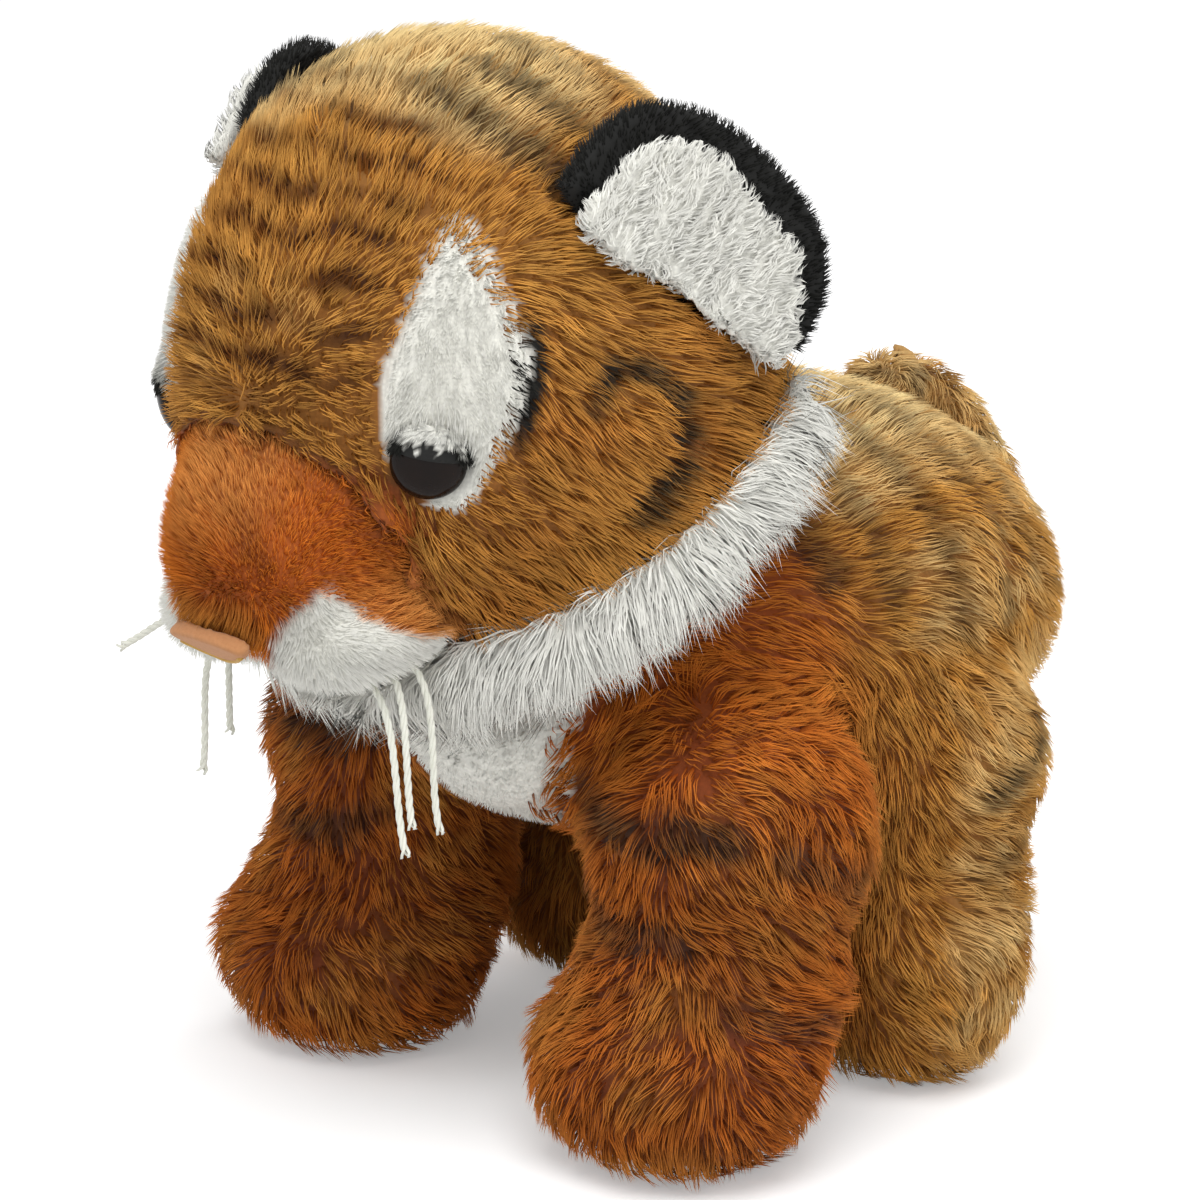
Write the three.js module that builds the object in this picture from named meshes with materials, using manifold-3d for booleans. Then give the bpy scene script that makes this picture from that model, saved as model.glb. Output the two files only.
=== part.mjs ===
// Plush tiger cub standing on four thick legs with its big head bowed.
// Millimetres, +Z up. The cub faces -Y and +X is its left side.
// The origin is the centre of the bounding box, on the surface that the paws stand on.
import * as THREE from 'three';
import { mergeVertices } from 'three/addons/utils/BufferGeometryUtils.js';
import Module from 'manifold-3d';

const wasm = await Module();
wasm.setup();

// Clearances and thicknesses shared by the whole toy
const SEAM_GAP = 0.3;
const JOINT_GAP = 0.4;
const CUT_OVERRUN = 8;
const LONG_PILE = 7;
const SHORT_PILE = 4;
const SOLE_FLAT = 0.5;
const MERGE_DISTANCE = 0.0001;
const DEGREES = Math.PI / 180;

// Facets
const BODY_FACETS = { rings: 15, sides: 20 };
const CORE_FACETS = { rings: 8, sides: 12 };
const LIMB_FACETS = { rings: 9, sides: 12 };
const LIMB_CORE_FACETS = { rings: 7, sides: 10 };
const SMALL_FACETS = { rings: 8, sides: 10 };
const BALL_SIDES = 14;
const CORE_BALL_SIDES = 10;
const ROUND_SIDES = 12;
const THREAD_STEPS = 4;
const DOME_STEPS = 3;
const OUTLINE_POINTS = 18;

// Torso, from the chest to the rump
const TORSO_LENGTH = 138;
const TORSO_WIDTH = 106;
const TORSO_HEIGHT = 76;
const TORSO_FRONT = -56;
const TORSO_MIDDLE_HEIGHT = 81;
const TORSO_BLUNTNESS = 0.62;
// share along the length, rise of the middle line, width and height there
const TORSO_SHARES = [
  [0.0, -0.1, 0.72, 0.74],
  [0.2, -0.03, 0.9, 0.9],
  [0.4, 0.04, 0.96, 1.0],
  [0.6, 0.07, 1.0, 1.04],
  [0.8, 0.05, 1.0, 1.04],
  [1.0, -0.05, 0.94, 0.96],
];

// White panel down the chest and along the belly
const BELLY_WIDTH = 26;
const BELLY_BACK = 50;
const BELLY_SEAM_HEIGHT = 64;
const CHEST_TOP_WIDTH = 58;
const CHEST_TOP = 96;
const CHEST_BACK = -34;

// Neck between torso and head: a ball of stuffing in a crease that leaves room for the nod
const NECK_AT = [0, -22, 106];
const NECK_LEAN = 40;
const NECK_BALL_RADIUS = 22;
const HEAD_NOD = 8;
const CREASE_MARGIN = 1;
const CREASE_REACH = 150;

// Head, measured from the neck with the face level and then bowed about the neck
const HEAD_BOW = 18;
const SKULL_LENGTH = 108;
const SKULL_WIDTH = 116;
const SKULL_HEIGHT = 110;
const SKULL_MIDDLE = [0, -16, 46];
const SKULL_BLUNTNESS = 0.8;
const SKULL_CROWN_SHARE = 0.12;
// share along the length from the face, rise, width and height there
const SKULL_SHARES = [
  [0.0, -0.05, 0.84, 0.86],
  [0.25, -0.02, 0.94, 0.95],
  [0.5, 0.0, 1.0, 1.0],
  [0.75, 0.0, 1.0, 0.98],
  [1.0, 0.0, 0.94, 0.92],
];

// Muzzle, from its round front to where it meets the face. It and what follows on the face
// are measured from the front of the skull and the neck's height.
const MUZZLE_LENGTH = 58;
const MUZZLE_WIDTH = 57;
const MUZZLE_HEIGHT = 50;
const MUZZLE_FRONT = [0, -14, 32];
const MUZZLE_BLUNTNESS = 0.7;
const MUZZLE_SHARES = [
  [0.0, -0.08, 0.86, 0.86],
  [0.5, 0.0, 1.0, 1.0],
  [1.0, 0.0, 1.0, 1.0],
];

// White whisker pads and chin
const PAD_WIDTH = 34;
const PAD_LENGTH = 40;
const PAD_HEIGHT = 26;
const PAD_AT = [14, 8, 17];
const CHIN_WIDTH = 34;
const CHIN_LENGTH = 34;
const CHIN_HEIGHT = 22;
const CHIN_AT = [0, 16, 9];

// Nose, a flat padded triangle between muzzle and pads
const NOSE_WIDTH = 20;
const NOSE_HEIGHT = 13;
const NOSE_THICKNESS = 6;
const NOSE_EDGE = 1.2;
const NOSE_AT = [0, -14.4, 20];
const NOSE_TIP = 22;
const NOSE_OUTLINE_SHARES = [
  [1.0, 0.5], [0.5, 1.0], [-0.5, 1.0], [-1.0, 0.5], [-0.6, -0.5], [0.0, -1.0], [0.6, -0.5],
];

// Eyes: a domed bead on a shank, held by a washer behind the plush
const EYE_RADIUS = 6.5;
const EYE_DOME_HEIGHT = 4;
const EYE_RIM = 1;
const EYE_SINK = 3.5;
const EYE_SHANK_RADIUS = 1.8;
const EYE_SHANK_LENGTH = 11;
const EYE_ACROSS = -14.5;
const EYE_HEIGHT = 46.5;
const WASHER_RADIUS = 7;
const WASHER_THICKNESS = 1.8;
const WASHER_DEPTH = 7;
const WASHER_FIT = 0.2;

// White patches around the eyes, laid out square to the way the eyes look
const EYE_TURN = 45;
const PATCH_WIDTH = 27;
const PATCH_HEIGHT = 44;
const PATCH_ACROSS = -7.7;
const PATCH_RISE = 58.4;
const PATCH_OUTLINE_SHARES = [
  [0.6, 1.0], [0.15, 0.92], [-0.45, 0.5], [-0.87, 0.05], [-1.0, -0.35],
  [-0.8, -0.75], [-0.27, -0.97], [0.36, -0.65], [0.95, -0.15], [1.0, 0.35],
];

// Ruff of long white pile between cheek and neck, a roll around the neck's line
const RUFF_RADIUS = 50;
const RUFF_ALONG_NECK = 21;
const RUFF_THICKNESS = 20;
const RUFF_TOP = 26;
const RUFF_SPLIT = 0.6;

// Ears, each a black back with a white lining in front
const EAR_INNER = [41, -20, 82.4];
const EAR_OUTER = [55.5, 11.5, 36.4];
const EAR_RIM = [51.6, 17.5, 76];
const EAR_HEIGHT = 27;
const EAR_THICKNESS = 8;
const EAR_EDGE = 2.5;
const EAR_ROOT_RADIUS = 4;
const EAR_ROOT_DEPTH = 11;
const EAR_LINING_RIM = 6;
const EAR_LINING_THICKNESS = 5;
const EAR_LINING_EDGE = 1.5;
const EAR_LINING_RISE = 2.5;
const EAR_FOLD = 10;
// outline above the root line, as shares of half the root line and of the height
const EAR_OUTLINE_SHARES = [
  [1.0, 0.0], [0.95, 0.45], [0.7, 0.8], [0.2, 0.98], [-0.35, 1.0], [-0.78, 0.82], [-0.98, 0.45], [-1.0, 0.0],
];

// Legs
const LEG_SWING_OUT = 8;
const LEG_SWING_IN = 3;
const LEG_BLUNTNESS = 0.5;
const LEG_OPENING_RADIUS = 14;
const LEG_OPENING_LEAN = 62;
const FRONT_LEG = {
  spread: 44, ball: 27, ballAlong: -27, ballHeight: 58,
  columnWidth: 52, columnDepth: 51, pawAlong: -40, pawWidth: 61, pawLength: 59,
  forward: LEG_SWING_OUT, backward: LEG_SWING_IN,
};
const HIND_LEG = {
  spread: 40, ball: 24.5, ballAlong: 26, ballHeight: 60,
  columnWidth: 47, columnDepth: 46, pawAlong: 21, pawWidth: 55, pawLength: 47,
  forward: LEG_SWING_IN, backward: LEG_SWING_OUT,
};
// share of the way from ball to paw along the toy, share of the ball's height,
// and shares of the change from the column's width and depth to the paw's
const LEG_SHARES = [
  [0.0, 1.14, 0.0, 0.0],
  [0.3, 0.6, 0.0, 0.0],
  [1.0, 0.38, 1.0, 0.5],
  [1.0, 0.0, 1.0, 1.0],
];

// Tail, hanging behind the rump from a ball of stuffing at its root
const TAIL_DIAMETER = 15;
const TAIL_ROOT_RADIUS = 6;
const TAIL_FROM_RUMP = 25;
const TAIL_SINK = 1;
const TAIL_AT = [
  0, TORSO_FRONT + TORSO_LENGTH - TAIL_FROM_RUMP, TORSO_MIDDLE_HEIGHT + TORSO_HEIGHT / 2 - TAIL_SINK,
];
const TAIL_BLUNTNESS = 0.4;
const TAIL_BACK = 34;
const TAIL_DROP = 81;
// how far behind and above the root the middle line runs, the line's lean, and the thickness there
const TAIL_SHARES = [
  [-0.05, 0.0, 35, 0.72],
  [0.13, 0.045, 12, 0.72],
  [0.38, -0.01, -38, 0.75],
  [0.66, -0.12, -48, 0.82],
  [0.87, -0.25, -62, 0.9],
  [0.98, -0.44, -80, 1.0],
  [1.0, -0.72, -90, 1.0],
  [0.97, -1.0, -93, 0.95],
];

// Whiskers, stiff floss threads sewn into the pads
const WHISKER_DIAMETER = 1.6;
const WHISKER_DROP = 30;
const WHISKER_ROOT_DEPTH = 5;
const LEFT_FRONT_ROOT = [21, 2, 9];
const LEFT_MIDDLE_ROOT = [23, 5, 10];
const LEFT_REAR_ROOT = [24, 9, 11];
const RIGHT_FRONT_ROOT = [-20, 0, 9];
const RIGHT_MIDDLE_ROOT = [-24, 2, 14];
const RIGHT_REAR_ROOT = [-25, 7, 9];
const WHISKERS = [
  { name: 'whisker_left_front', root: LEFT_FRONT_ROOT, endShares: [0.25, 0.0, -1.0] },
  { name: 'whisker_left_middle', root: LEFT_MIDDLE_ROOT, endShares: [0.2, -0.05, -0.9] },
  { name: 'whisker_left_rear', root: LEFT_REAR_ROOT, endShares: [0.16, 0.05, -1.05] },
  { name: 'whisker_right_front', root: RIGHT_FRONT_ROOT, endShares: [-0.15, 0.0, -0.85] },
  { name: 'whisker_right_middle', root: RIGHT_MIDDLE_ROOT, endShares: [-0.6, -0.15, -0.35] },
  { name: 'whisker_right_rear', root: RIGHT_REAR_ROOT, endShares: [-0.05, 0.05, -0.75] },
];

// A closed form: rings from one rounded end to the other along a middle line.
// Each row gives the place x, y, z, the half width, the half depth and the ring's lean about X.
// crown is the share by which the top of each ring is narrower than its middle.
function formOf(rows, { rings, sides }, bluntness, inset = 0, crown = 0) {
  const curve = (pick) => new THREE.CatmullRomCurve3(
    rows.map((row) => new THREE.Vector3(...pick(row))), false, 'catmullrom',
  );
  const middles = curve((row) => row.slice(0, 3));
  const sizes = curve((row) => row.slice(3, 6));
  const length = middles.getLength();
  const positions = [];
  const place = (share, swell, turn) => {
    const wanted = inset / length + share * (1 - (2 * inset) / length);
    const at = THREE.MathUtils.clamp(wanted, 0, 1);
    const middle = middles.getPoint(at);
    middle.addScaledVector(middles.getTangent(at), (wanted - at) * length);
    const size = sizes.getPoint(at);
    const across = (size.x - inset) * swell * Math.cos(turn) * (1 - crown * Math.sin(turn));
    const along = (size.y - inset) * swell * Math.sin(turn);
    const lean = size.z * DEGREES;
    positions.push(middle.x + across, middle.y - along * Math.sin(lean), middle.z + along * Math.cos(lean));
  };
  place(0, 0, 0);
  for (let i = 1; i < rings; i += 1) {
    const polar = (Math.PI * i) / rings;
    for (let j = 0; j < sides; j += 1) {
      place((1 - Math.cos(polar)) / 2, Math.sin(polar) ** bluntness, (2 * Math.PI * j) / sides);
    }
  }
  place(1, 0, 0);
  const geometry = new THREE.BufferGeometry();
  geometry.setAttribute('position', new THREE.Float32BufferAttribute(positions, 3));
  geometry.setIndex(ringTriangles(rings, sides));
  return geometry;
}

// Triangles over the rings of a closed form that has one point at each end.
function ringTriangles(rings, sides) {
  const last = 1 + (rings - 1) * sides;
  const index = [];
  for (let j = 0; j < sides; j += 1) {
    const next = (j + 1) % sides;
    index.push(0, 1 + next, 1 + j);
    index.push(last, last - sides + j, last - sides + next);
    for (let i = 0; i < rings - 2; i += 1) {
      const a = 1 + i * sides;
      const b = a + sides;
      index.push(a + j, a + next, b + next, a + j, b + next, b + j);
    }
  }
  return index;
}

// Solid of a closed geometry, turned outside out where its faces point inwards.
function solidOf(source, matrix = new THREE.Matrix4()) {
  let geometry = source.clone().applyMatrix4(matrix);
  geometry.deleteAttribute('normal');
  geometry.deleteAttribute('uv');
  geometry = mergeVertices(geometry, MERGE_DISTANCE);
  const vertProperties = new Float32Array(geometry.attributes.position.array);
  const triVerts = new Uint32Array(geometry.index.array);
  const make = () => new wasm.Manifold(new wasm.Mesh({ numProp: 3, vertProperties, triVerts }));
  const solid = make();
  if (solid.volume() > 0) return solid;
  for (let i = 0; i < triVerts.length; i += 3) {
    [triVerts[i + 1], triVerts[i + 2]] = [triVerts[i + 2], triVerts[i + 1]];
  }
  return make();
}

function geometryOf(solid) {
  const mesh = solid.getMesh();
  const geometry = new THREE.BufferGeometry();
  const positions = new Float32Array(mesh.numVert * 3);
  for (let i = 0; i < mesh.numVert; i += 1) {
    for (let k = 0; k < 3; k += 1) positions[i * 3 + k] = mesh.vertProperties[i * mesh.numProp + k];
  }
  geometry.setAttribute('position', new THREE.BufferAttribute(positions, 3));
  geometry.setIndex(new THREE.BufferAttribute(new Uint32Array(mesh.triVerts), 1));
  return geometry;
}

function moved([x, y, z]) {
  return new THREE.Matrix4().makeTranslation(x, y, z);
}

function transformed(solid, matrix) {
  return solidOf(geometryOf(solid), matrix);
}

function mirrored(solid) {
  return transformed(solid, new THREE.Matrix4().makeScale(-1, 1, 1));
}

function withMirrored(solid) {
  return solid.add(mirrored(solid));
}

function union(solids) {
  return solids.reduce((whole, solid) => whole.add(solid));
}

// Union of a solid turned about an axis through a point, at each of the angles.
function sweep(solid, point, axis, angles) {
  return union(angles.map((angle) => {
    const turn = new THREE.Matrix4().makeRotationAxis(axis, angle);
    return transformed(solid, moved(point).multiply(turn).multiply(moved(point).invert()));
  }));
}

function ballOf(radius, at, sides = BALL_SIDES) {
  return solidOf(new THREE.SphereGeometry(radius, sides, sides / 2), moved(at));
}

// Ball turned by half a facet, so that its corners meet the flats of its seat.
function seatedBall(radius, at) {
  const half = Math.PI / BALL_SIDES;
  const turn = new THREE.Matrix4().makeRotationFromEuler(new THREE.Euler(half, half, 0));
  return solidOf(new THREE.SphereGeometry(radius, BALL_SIDES, BALL_SIDES / 2), moved(at).multiply(turn));
}

// Seat for a ball that turns in it: all its facets lie outside the ball.
function socketOf(radius, at) {
  return ballOf((radius + JOINT_GAP) / Math.cos(Math.PI / BALL_SIDES) ** 2, at);
}

// Ellipsoid from its three half sizes.
function ellipsoidOf([across, along, up], matrix) {
  const geometry = new THREE.SphereGeometry(1, SMALL_FACETS.sides, SMALL_FACETS.rings);
  geometry.scale(across, along, up);
  return solidOf(geometry, matrix);
}

// Box between two corners.
function boxOf([x0, y0, z0], [x1, y1, z1], matrix = new THREE.Matrix4()) {
  const geometry = new THREE.BoxGeometry(x1 - x0, y1 - y0, z1 - z0);
  geometry.translate((x0 + x1) / 2, (y0 + y1) / 2, (z0 + z1) / 2);
  return solidOf(geometry, matrix);
}

// Body of revolution about the frame's Z from points given as radius and height.
function turnedOf(profile, matrix, sides = ROUND_SIDES) {
  const points = profile.map(([radius, height]) => new THREE.Vector2(radius, height));
  const geometry = new THREE.LatheGeometry(points, sides);
  geometry.rotateX(Math.PI / 2);
  return solidOf(geometry, matrix);
}

// Smooth outline through points given as shares of a half width and a half height.
// One that is not closed ends in a straight line back to its first point.
function outlineOf(shares, halfWidth, halfHeight, closed = true) {
  const corners = shares.map(([x, y]) => new THREE.Vector3(x * halfWidth, y * halfHeight, 0));
  const points = new THREE.CatmullRomCurve3(corners, closed).getPoints(OUTLINE_POINTS);
  return new THREE.Shape(points.slice(0, closed ? -1 : undefined).map(({ x, y }) => new THREE.Vector2(x, y)));
}

// Flat outline given thickness along the frame's Z, its edges rounded where a size is given.
function plateOf(shape, low, high, matrix, edge = 0) {
  const geometry = new THREE.ExtrudeGeometry(shape, {
    depth: high - low - 2 * edge, bevelEnabled: edge > 0, bevelThickness: edge,
    bevelSize: edge, bevelOffset: -edge, bevelSegments: 2,
  });
  geometry.translate(0, 0, low + edge);
  return solidOf(geometry, matrix);
}

// Outermost point of a solid on a ray that starts inside it.
function surfacePoint(solid, origin, direction) {
  const mesh = new THREE.Mesh(geometryOf(solid), new THREE.MeshBasicMaterial({ side: THREE.DoubleSide }));
  const hits = new THREE.Raycaster(origin, direction).intersectObject(mesh);
  return hits[hits.length - 1].point;
}

// Materials
const matte = (color, roughness = 0.95) => new THREE.MeshStandardMaterial({ color, roughness, metalness: 0 });
const tanPlush = matte(0xb9793a);
const rustPlush = matte(0xb0601f);
const whitePlush = matte(0xeceae2);
const blackPlush = matte(0x1c1d1b);
const fibreFilling = matte(0xf2f0ea);
const eyePlastic = matte(0x120d0b, 0.12);
const washerPlastic = matte(0xd9d9d6, 0.4);
const noseFabric = matte(0xd08f62, 0.8);
const flossThread = matte(0xdcdccb, 0.7);

const tiger = new THREE.Group();
tiger.name = 'plush_tiger';

// Group at a joint: its place in the cub's frame, and its turn about X from level.
function groupAt(parent, name, at, turn = 0) {
  const group = new THREE.Group();
  group.name = name;
  const wanted = moved(at).multiply(new THREE.Matrix4().makeRotationX(turn * DEGREES));
  const local = parent.matrixWorld.clone().invert().multiply(wanted);
  local.decompose(group.position, group.quaternion, group.scale);
  parent.add(group);
  tiger.updateMatrixWorld(true);
  return group;
}

// Adds a solid built in the cub's frame as a named mesh of the group that carries it.
function addPiece(group, name, solid, material) {
  const geometry = geometryOf(solid);
  geometry.applyMatrix4(group.matrixWorld.clone().invert());
  geometry.computeVertexNormals();
  const mesh = new THREE.Mesh(geometry, material.clone());
  mesh.name = name;
  group.add(mesh);
}

// Adds the left piece and its mirror image, each to its own group.
function addPair([left, right], name, solid, material) {
  addPiece(left, `${name}_left`, solid, material);
  addPiece(right, `${name}_right`, mirrored(solid), material);
}

const torsoGroup = groupAt(tiger, 'torso', [0, 0, 0]);
const neckGroup = groupAt(torsoGroup, 'neck', NECK_AT, NECK_LEAN);
const headGroup = groupAt(neckGroup, 'head', NECK_AT, HEAD_BOW);
const neckFrame = neckGroup.matrixWorld.clone();
const headFrame = headGroup.matrixWorld.clone();
const xAxis = new THREE.Vector3(1, 0, 0);

// Frame of the face, at the front of the skull.
const faceFrame = headFrame.clone().multiply(moved([0, SKULL_MIDDLE[1] - SKULL_LENGTH / 2, 0]));

function inFace(at) {
  return faceFrame.clone().multiply(moved(at));
}

// Rows of a form that runs from front to back, from shares of its width, length and height.
function lengthwiseRows(shares, [x, front, middle], [width, length, height]) {
  return shares.map(([along, rise, across, up]) => [
    x, front + along * length, middle + rise * height, (across * width) / 2, (up * height) / 2, 0,
  ]);
}

function torsoForm(inset, facets = BODY_FACETS) {
  const size = [TORSO_WIDTH, TORSO_LENGTH, TORSO_HEIGHT];
  const rows = lengthwiseRows(TORSO_SHARES, [0, TORSO_FRONT, TORSO_MIDDLE_HEIGHT], size);
  return solidOf(formOf(rows, facets, TORSO_BLUNTNESS, inset));
}

function skullForm(inset, facets = BODY_FACETS) {
  const size = [SKULL_WIDTH, SKULL_LENGTH, SKULL_HEIGHT];
  const front = [SKULL_MIDDLE[0], SKULL_MIDDLE[1] - SKULL_LENGTH / 2, SKULL_MIDDLE[2]];
  const rows = lengthwiseRows(SKULL_SHARES, front, size);
  return solidOf(formOf(rows, facets, SKULL_BLUNTNESS, inset, SKULL_CROWN_SHARE), headFrame);
}

function muzzleForm(inset, facets = LIMB_FACETS) {
  const size = [MUZZLE_WIDTH, MUZZLE_LENGTH, MUZZLE_HEIGHT];
  const rows = lengthwiseRows(MUZZLE_SHARES, MUZZLE_FRONT, size);
  return solidOf(formOf(rows, facets, MUZZLE_BLUNTNESS, inset), faceFrame);
}

// Wide cone about the neck's line: the head keeps to one, the torso to the other.
function neckCone(turn) {
  const slope = ((HEAD_NOD + CREASE_MARGIN) * DEGREES) / 2;
  const rise = CREASE_REACH * Math.tan(slope);
  const profile = [[0, 0], [CREASE_REACH, rise], [CREASE_REACH, CREASE_REACH], [0, CREASE_REACH]];
  const frame = neckFrame.clone().multiply(new THREE.Matrix4().makeRotationX(turn));
  return turnedOf(profile, frame, 2 * ROUND_SIDES);
}
const headSide = neckCone(0);
const torsoSide = neckCone(Math.PI);
const neckSocket = socketOf(NECK_BALL_RADIUS, NECK_AT);

// Legs
function legPivot(leg) {
  return [leg.spread, leg.ballAlong, leg.ballHeight];
}

function legForm(leg, inset, facets = LIMB_FACETS) {
  const { lerp } = THREE.MathUtils;
  const rows = LEG_SHARES.map(([toPaw, up, wider, longer]) => [
    leg.spread, lerp(leg.ballAlong, leg.pawAlong, toPaw), up * leg.ballHeight - SOLE_FLAT,
    lerp(leg.columnWidth, leg.pawWidth, wider) / 2, lerp(leg.columnDepth, leg.pawLength, longer) / 2, 90,
  ]);
  return solidOf(formOf(rows, facets, LEG_BLUNTNESS, inset));
}

// Round way from a leg's ball up to the torso, where the two fillings meet.
function legOpening(leg, radius, reach) {
  const inward = new THREE.Matrix4().makeRotationY(-LEG_OPENING_LEAN * DEGREES);
  return turnedOf([[0, 0], [radius, 0], [radius, reach], [0, reach]], moved(legPivot(leg)).multiply(inward));
}

// Filling of a leg, with its ball and its plug in the opening.
function legCore(leg, inset, openingRadius, reach) {
  return union([
    legForm(leg, inset, LIMB_CORE_FACETS),
    ballOf(leg.ball - inset, legPivot(leg), CORE_BALL_SIDES),
    legOpening(leg, openingRadius, reach),
  ]);
}

function legSkin(leg) {
  const ground = boxOf([-CREASE_REACH, -CREASE_REACH, -CREASE_REACH], [CREASE_REACH, CREASE_REACH, 0]);
  const hollow = legCore(leg, LONG_PILE, LEG_OPENING_RADIUS, leg.ball + CUT_OVERRUN);
  return legForm(leg, 0).add(ballOf(leg.ball, legPivot(leg))).subtract(ground).subtract(hollow);
}

function legStuffing(leg) {
  const plugRadius = LEG_OPENING_RADIUS - SEAM_GAP;
  const plugReach = Math.sqrt(leg.ball ** 2 - plugRadius ** 2) - SEAM_GAP;
  return legCore(leg, LONG_PILE + SEAM_GAP, plugRadius, plugReach);
}

// Space that a pair of legs sweeps, with the sockets in the torso.
function legRoom(leg) {
  const angles = [leg.backward * DEGREES, -leg.forward * DEGREES];
  const swept = sweep(legForm(leg, -JOINT_GAP), legPivot(leg), xAxis, angles);
  return withMirrored(swept.add(socketOf(leg.ball, legPivot(leg))));
}

for (const [name, leg] of [['front', FRONT_LEG], ['hind', HIND_LEG]]) {
  const [across, along, up] = legPivot(leg);
  const sides = [[across, along, up], [-across, along, up]];
  const groups = sides.map((at) => groupAt(torsoGroup, `${name}_leg`, at));
  addPair(groups, `${name}_leg_skin`, legSkin(leg), rustPlush);
  addPair(groups, `${name}_leg_stuffing`, legStuffing(leg), fibreFilling);
}

// Torso
function bellyRegion(grow) {
  const half = BELLY_WIDTH / 2 + grow;
  const belly = boxOf([-half, -CREASE_REACH, 0], [half, BELLY_BACK + grow, BELLY_SEAM_HEIGHT + grow]);
  const top = CHEST_TOP_WIDTH / 2 + grow;
  const chest = new THREE.Shape([
    new THREE.Vector2(-half, BELLY_SEAM_HEIGHT), new THREE.Vector2(half, BELLY_SEAM_HEIGHT),
    new THREE.Vector2(top, CHEST_TOP + grow), new THREE.Vector2(-top, CHEST_TOP + grow),
  ]);
  const facingFront = new THREE.Matrix4().makeRotationX(Math.PI / 2);
  return belly.add(plateOf(chest, -CHEST_BACK - grow, CREASE_REACH, facingFront));
}

const torsoRoom = union([
  neckSocket, socketOf(TAIL_ROOT_RADIUS, TAIL_AT), legRoom(FRONT_LEG), legRoom(HIND_LEG),
]);
const torsoShell = torsoForm(0).subtract(torsoForm(LONG_PILE, CORE_FACETS)).intersect(torsoSide).subtract(torsoRoom);
const torsoCore = torsoForm(LONG_PILE + SEAM_GAP, CORE_FACETS).intersect(torsoSide).subtract(torsoRoom);
addPiece(torsoGroup, 'torso_skin', torsoShell.subtract(bellyRegion(SEAM_GAP)), rustPlush);
addPiece(torsoGroup, 'chest_belly_panel', torsoShell.intersect(bellyRegion(0)), whitePlush);
addPiece(torsoGroup, 'torso_stuffing', torsoCore, fibreFilling);
addPiece(neckGroup, 'neck_stuffing', seatedBall(NECK_BALL_RADIUS, NECK_AT), fibreFilling);

// Tail
function tailForm(inset, facets) {
  const [x, y, z] = TAIL_AT;
  const rows = TAIL_SHARES.map(([back, up, lean, thickness]) => {
    const half = (thickness * TAIL_DIAMETER) / 2;
    return [x, y + back * TAIL_BACK, z + up * TAIL_DROP, half, half, lean];
  });
  return solidOf(formOf(rows, facets, TAIL_BLUNTNESS, inset));
}

const tailRootGroup = groupAt(torsoGroup, 'tail_root', TAIL_AT);
const tailGroup = groupAt(tailRootGroup, 'tail', TAIL_AT);
const tailSocket = socketOf(TAIL_ROOT_RADIUS, TAIL_AT);
const tailSkin = tailForm(0, LIMB_FACETS).subtract(tailForm(SHORT_PILE, LIMB_CORE_FACETS)).subtract(tailSocket);
const tailCore = tailForm(SHORT_PILE + SEAM_GAP, LIMB_CORE_FACETS).subtract(tailSocket);
addPiece(tailRootGroup, 'tail_root_stuffing', seatedBall(TAIL_ROOT_RADIUS, TAIL_AT), fibreFilling);
addPiece(tailGroup, 'tail_skin', tailSkin, rustPlush);
addPiece(tailGroup, 'tail_stuffing', tailCore, fibreFilling);

// Ears
const earInner = new THREE.Vector3(...EAR_INNER);
const earOuter = new THREE.Vector3(...EAR_OUTER);
const earMiddle = earInner.clone().lerp(earOuter, 0.5);
const earAxis = earOuter.clone().sub(earInner).normalize();
const earFacing = earAxis.clone().cross(new THREE.Vector3(...EAR_RIM).sub(earMiddle)).normalize();
const earUp = earFacing.clone().cross(earAxis);
// frame on the root line: X along it, Y up the ear, Z the way the ear faces
const earFrame = headFrame.clone().multiply(
  new THREE.Matrix4().makeBasis(earAxis, earUp, earFacing).setPosition(earMiddle),
);
const earHalf = earInner.distanceTo(earOuter) / 2;

// Root of the ear, slim at both ends, on which the ear folds.
function earRoot(grow) {
  return ellipsoidOf([earHalf + grow, EAR_ROOT_RADIUS + grow, EAR_ROOT_RADIUS + grow], earFrame);
}

function earBack() {
  const outline = outlineOf(EAR_OUTLINE_SHARES, earHalf, EAR_HEIGHT, false);
  return plateOf(outline, -EAR_THICKNESS / 2, EAR_THICKNESS / 2, earFrame, EAR_EDGE).add(earRoot(0));
}

function earLining() {
  const outline = outlineOf(EAR_OUTLINE_SHARES, earHalf - EAR_LINING_RIM, EAR_HEIGHT - EAR_LINING_RIM, false);
  const low = EAR_THICKNESS / 2 + SEAM_GAP;
  return plateOf(outline, low, low + EAR_LINING_THICKNESS, earFrame, EAR_LINING_EDGE)
    .subtract(skullForm(-EAR_LINING_RISE));
}

// Slots in the head for both ears, wide enough for their fold.
function earRoom() {
  const fold = EAR_FOLD * DEGREES;
  const half = (EAR_THICKNESS / 2 + JOINT_GAP) / Math.cos(fold) + EAR_ROOT_DEPTH * Math.sin(fold);
  const reach = earHalf + 2 * JOINT_GAP;
  const low = -(EAR_THICKNESS / 2) * Math.sin(fold) - JOINT_GAP;
  const slot = boxOf([-reach, low, -half], [reach, EAR_HEIGHT, half], earFrame);
  return withMirrored(slot.add(earRoot(JOINT_GAP / Math.cos(Math.PI / SMALL_FACETS.sides) ** 2)));
}

const [earX, earY, earZ] = earMiddle.clone().applyMatrix4(headFrame);
const earGroups = [[earX, earY, earZ], [-earX, earY, earZ]].map((at) => groupAt(headGroup, 'ear', at));
addPair(earGroups, 'ear_back', earBack(), blackPlush);
addPair(earGroups, 'ear_lining', earLining(), whitePlush);

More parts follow.
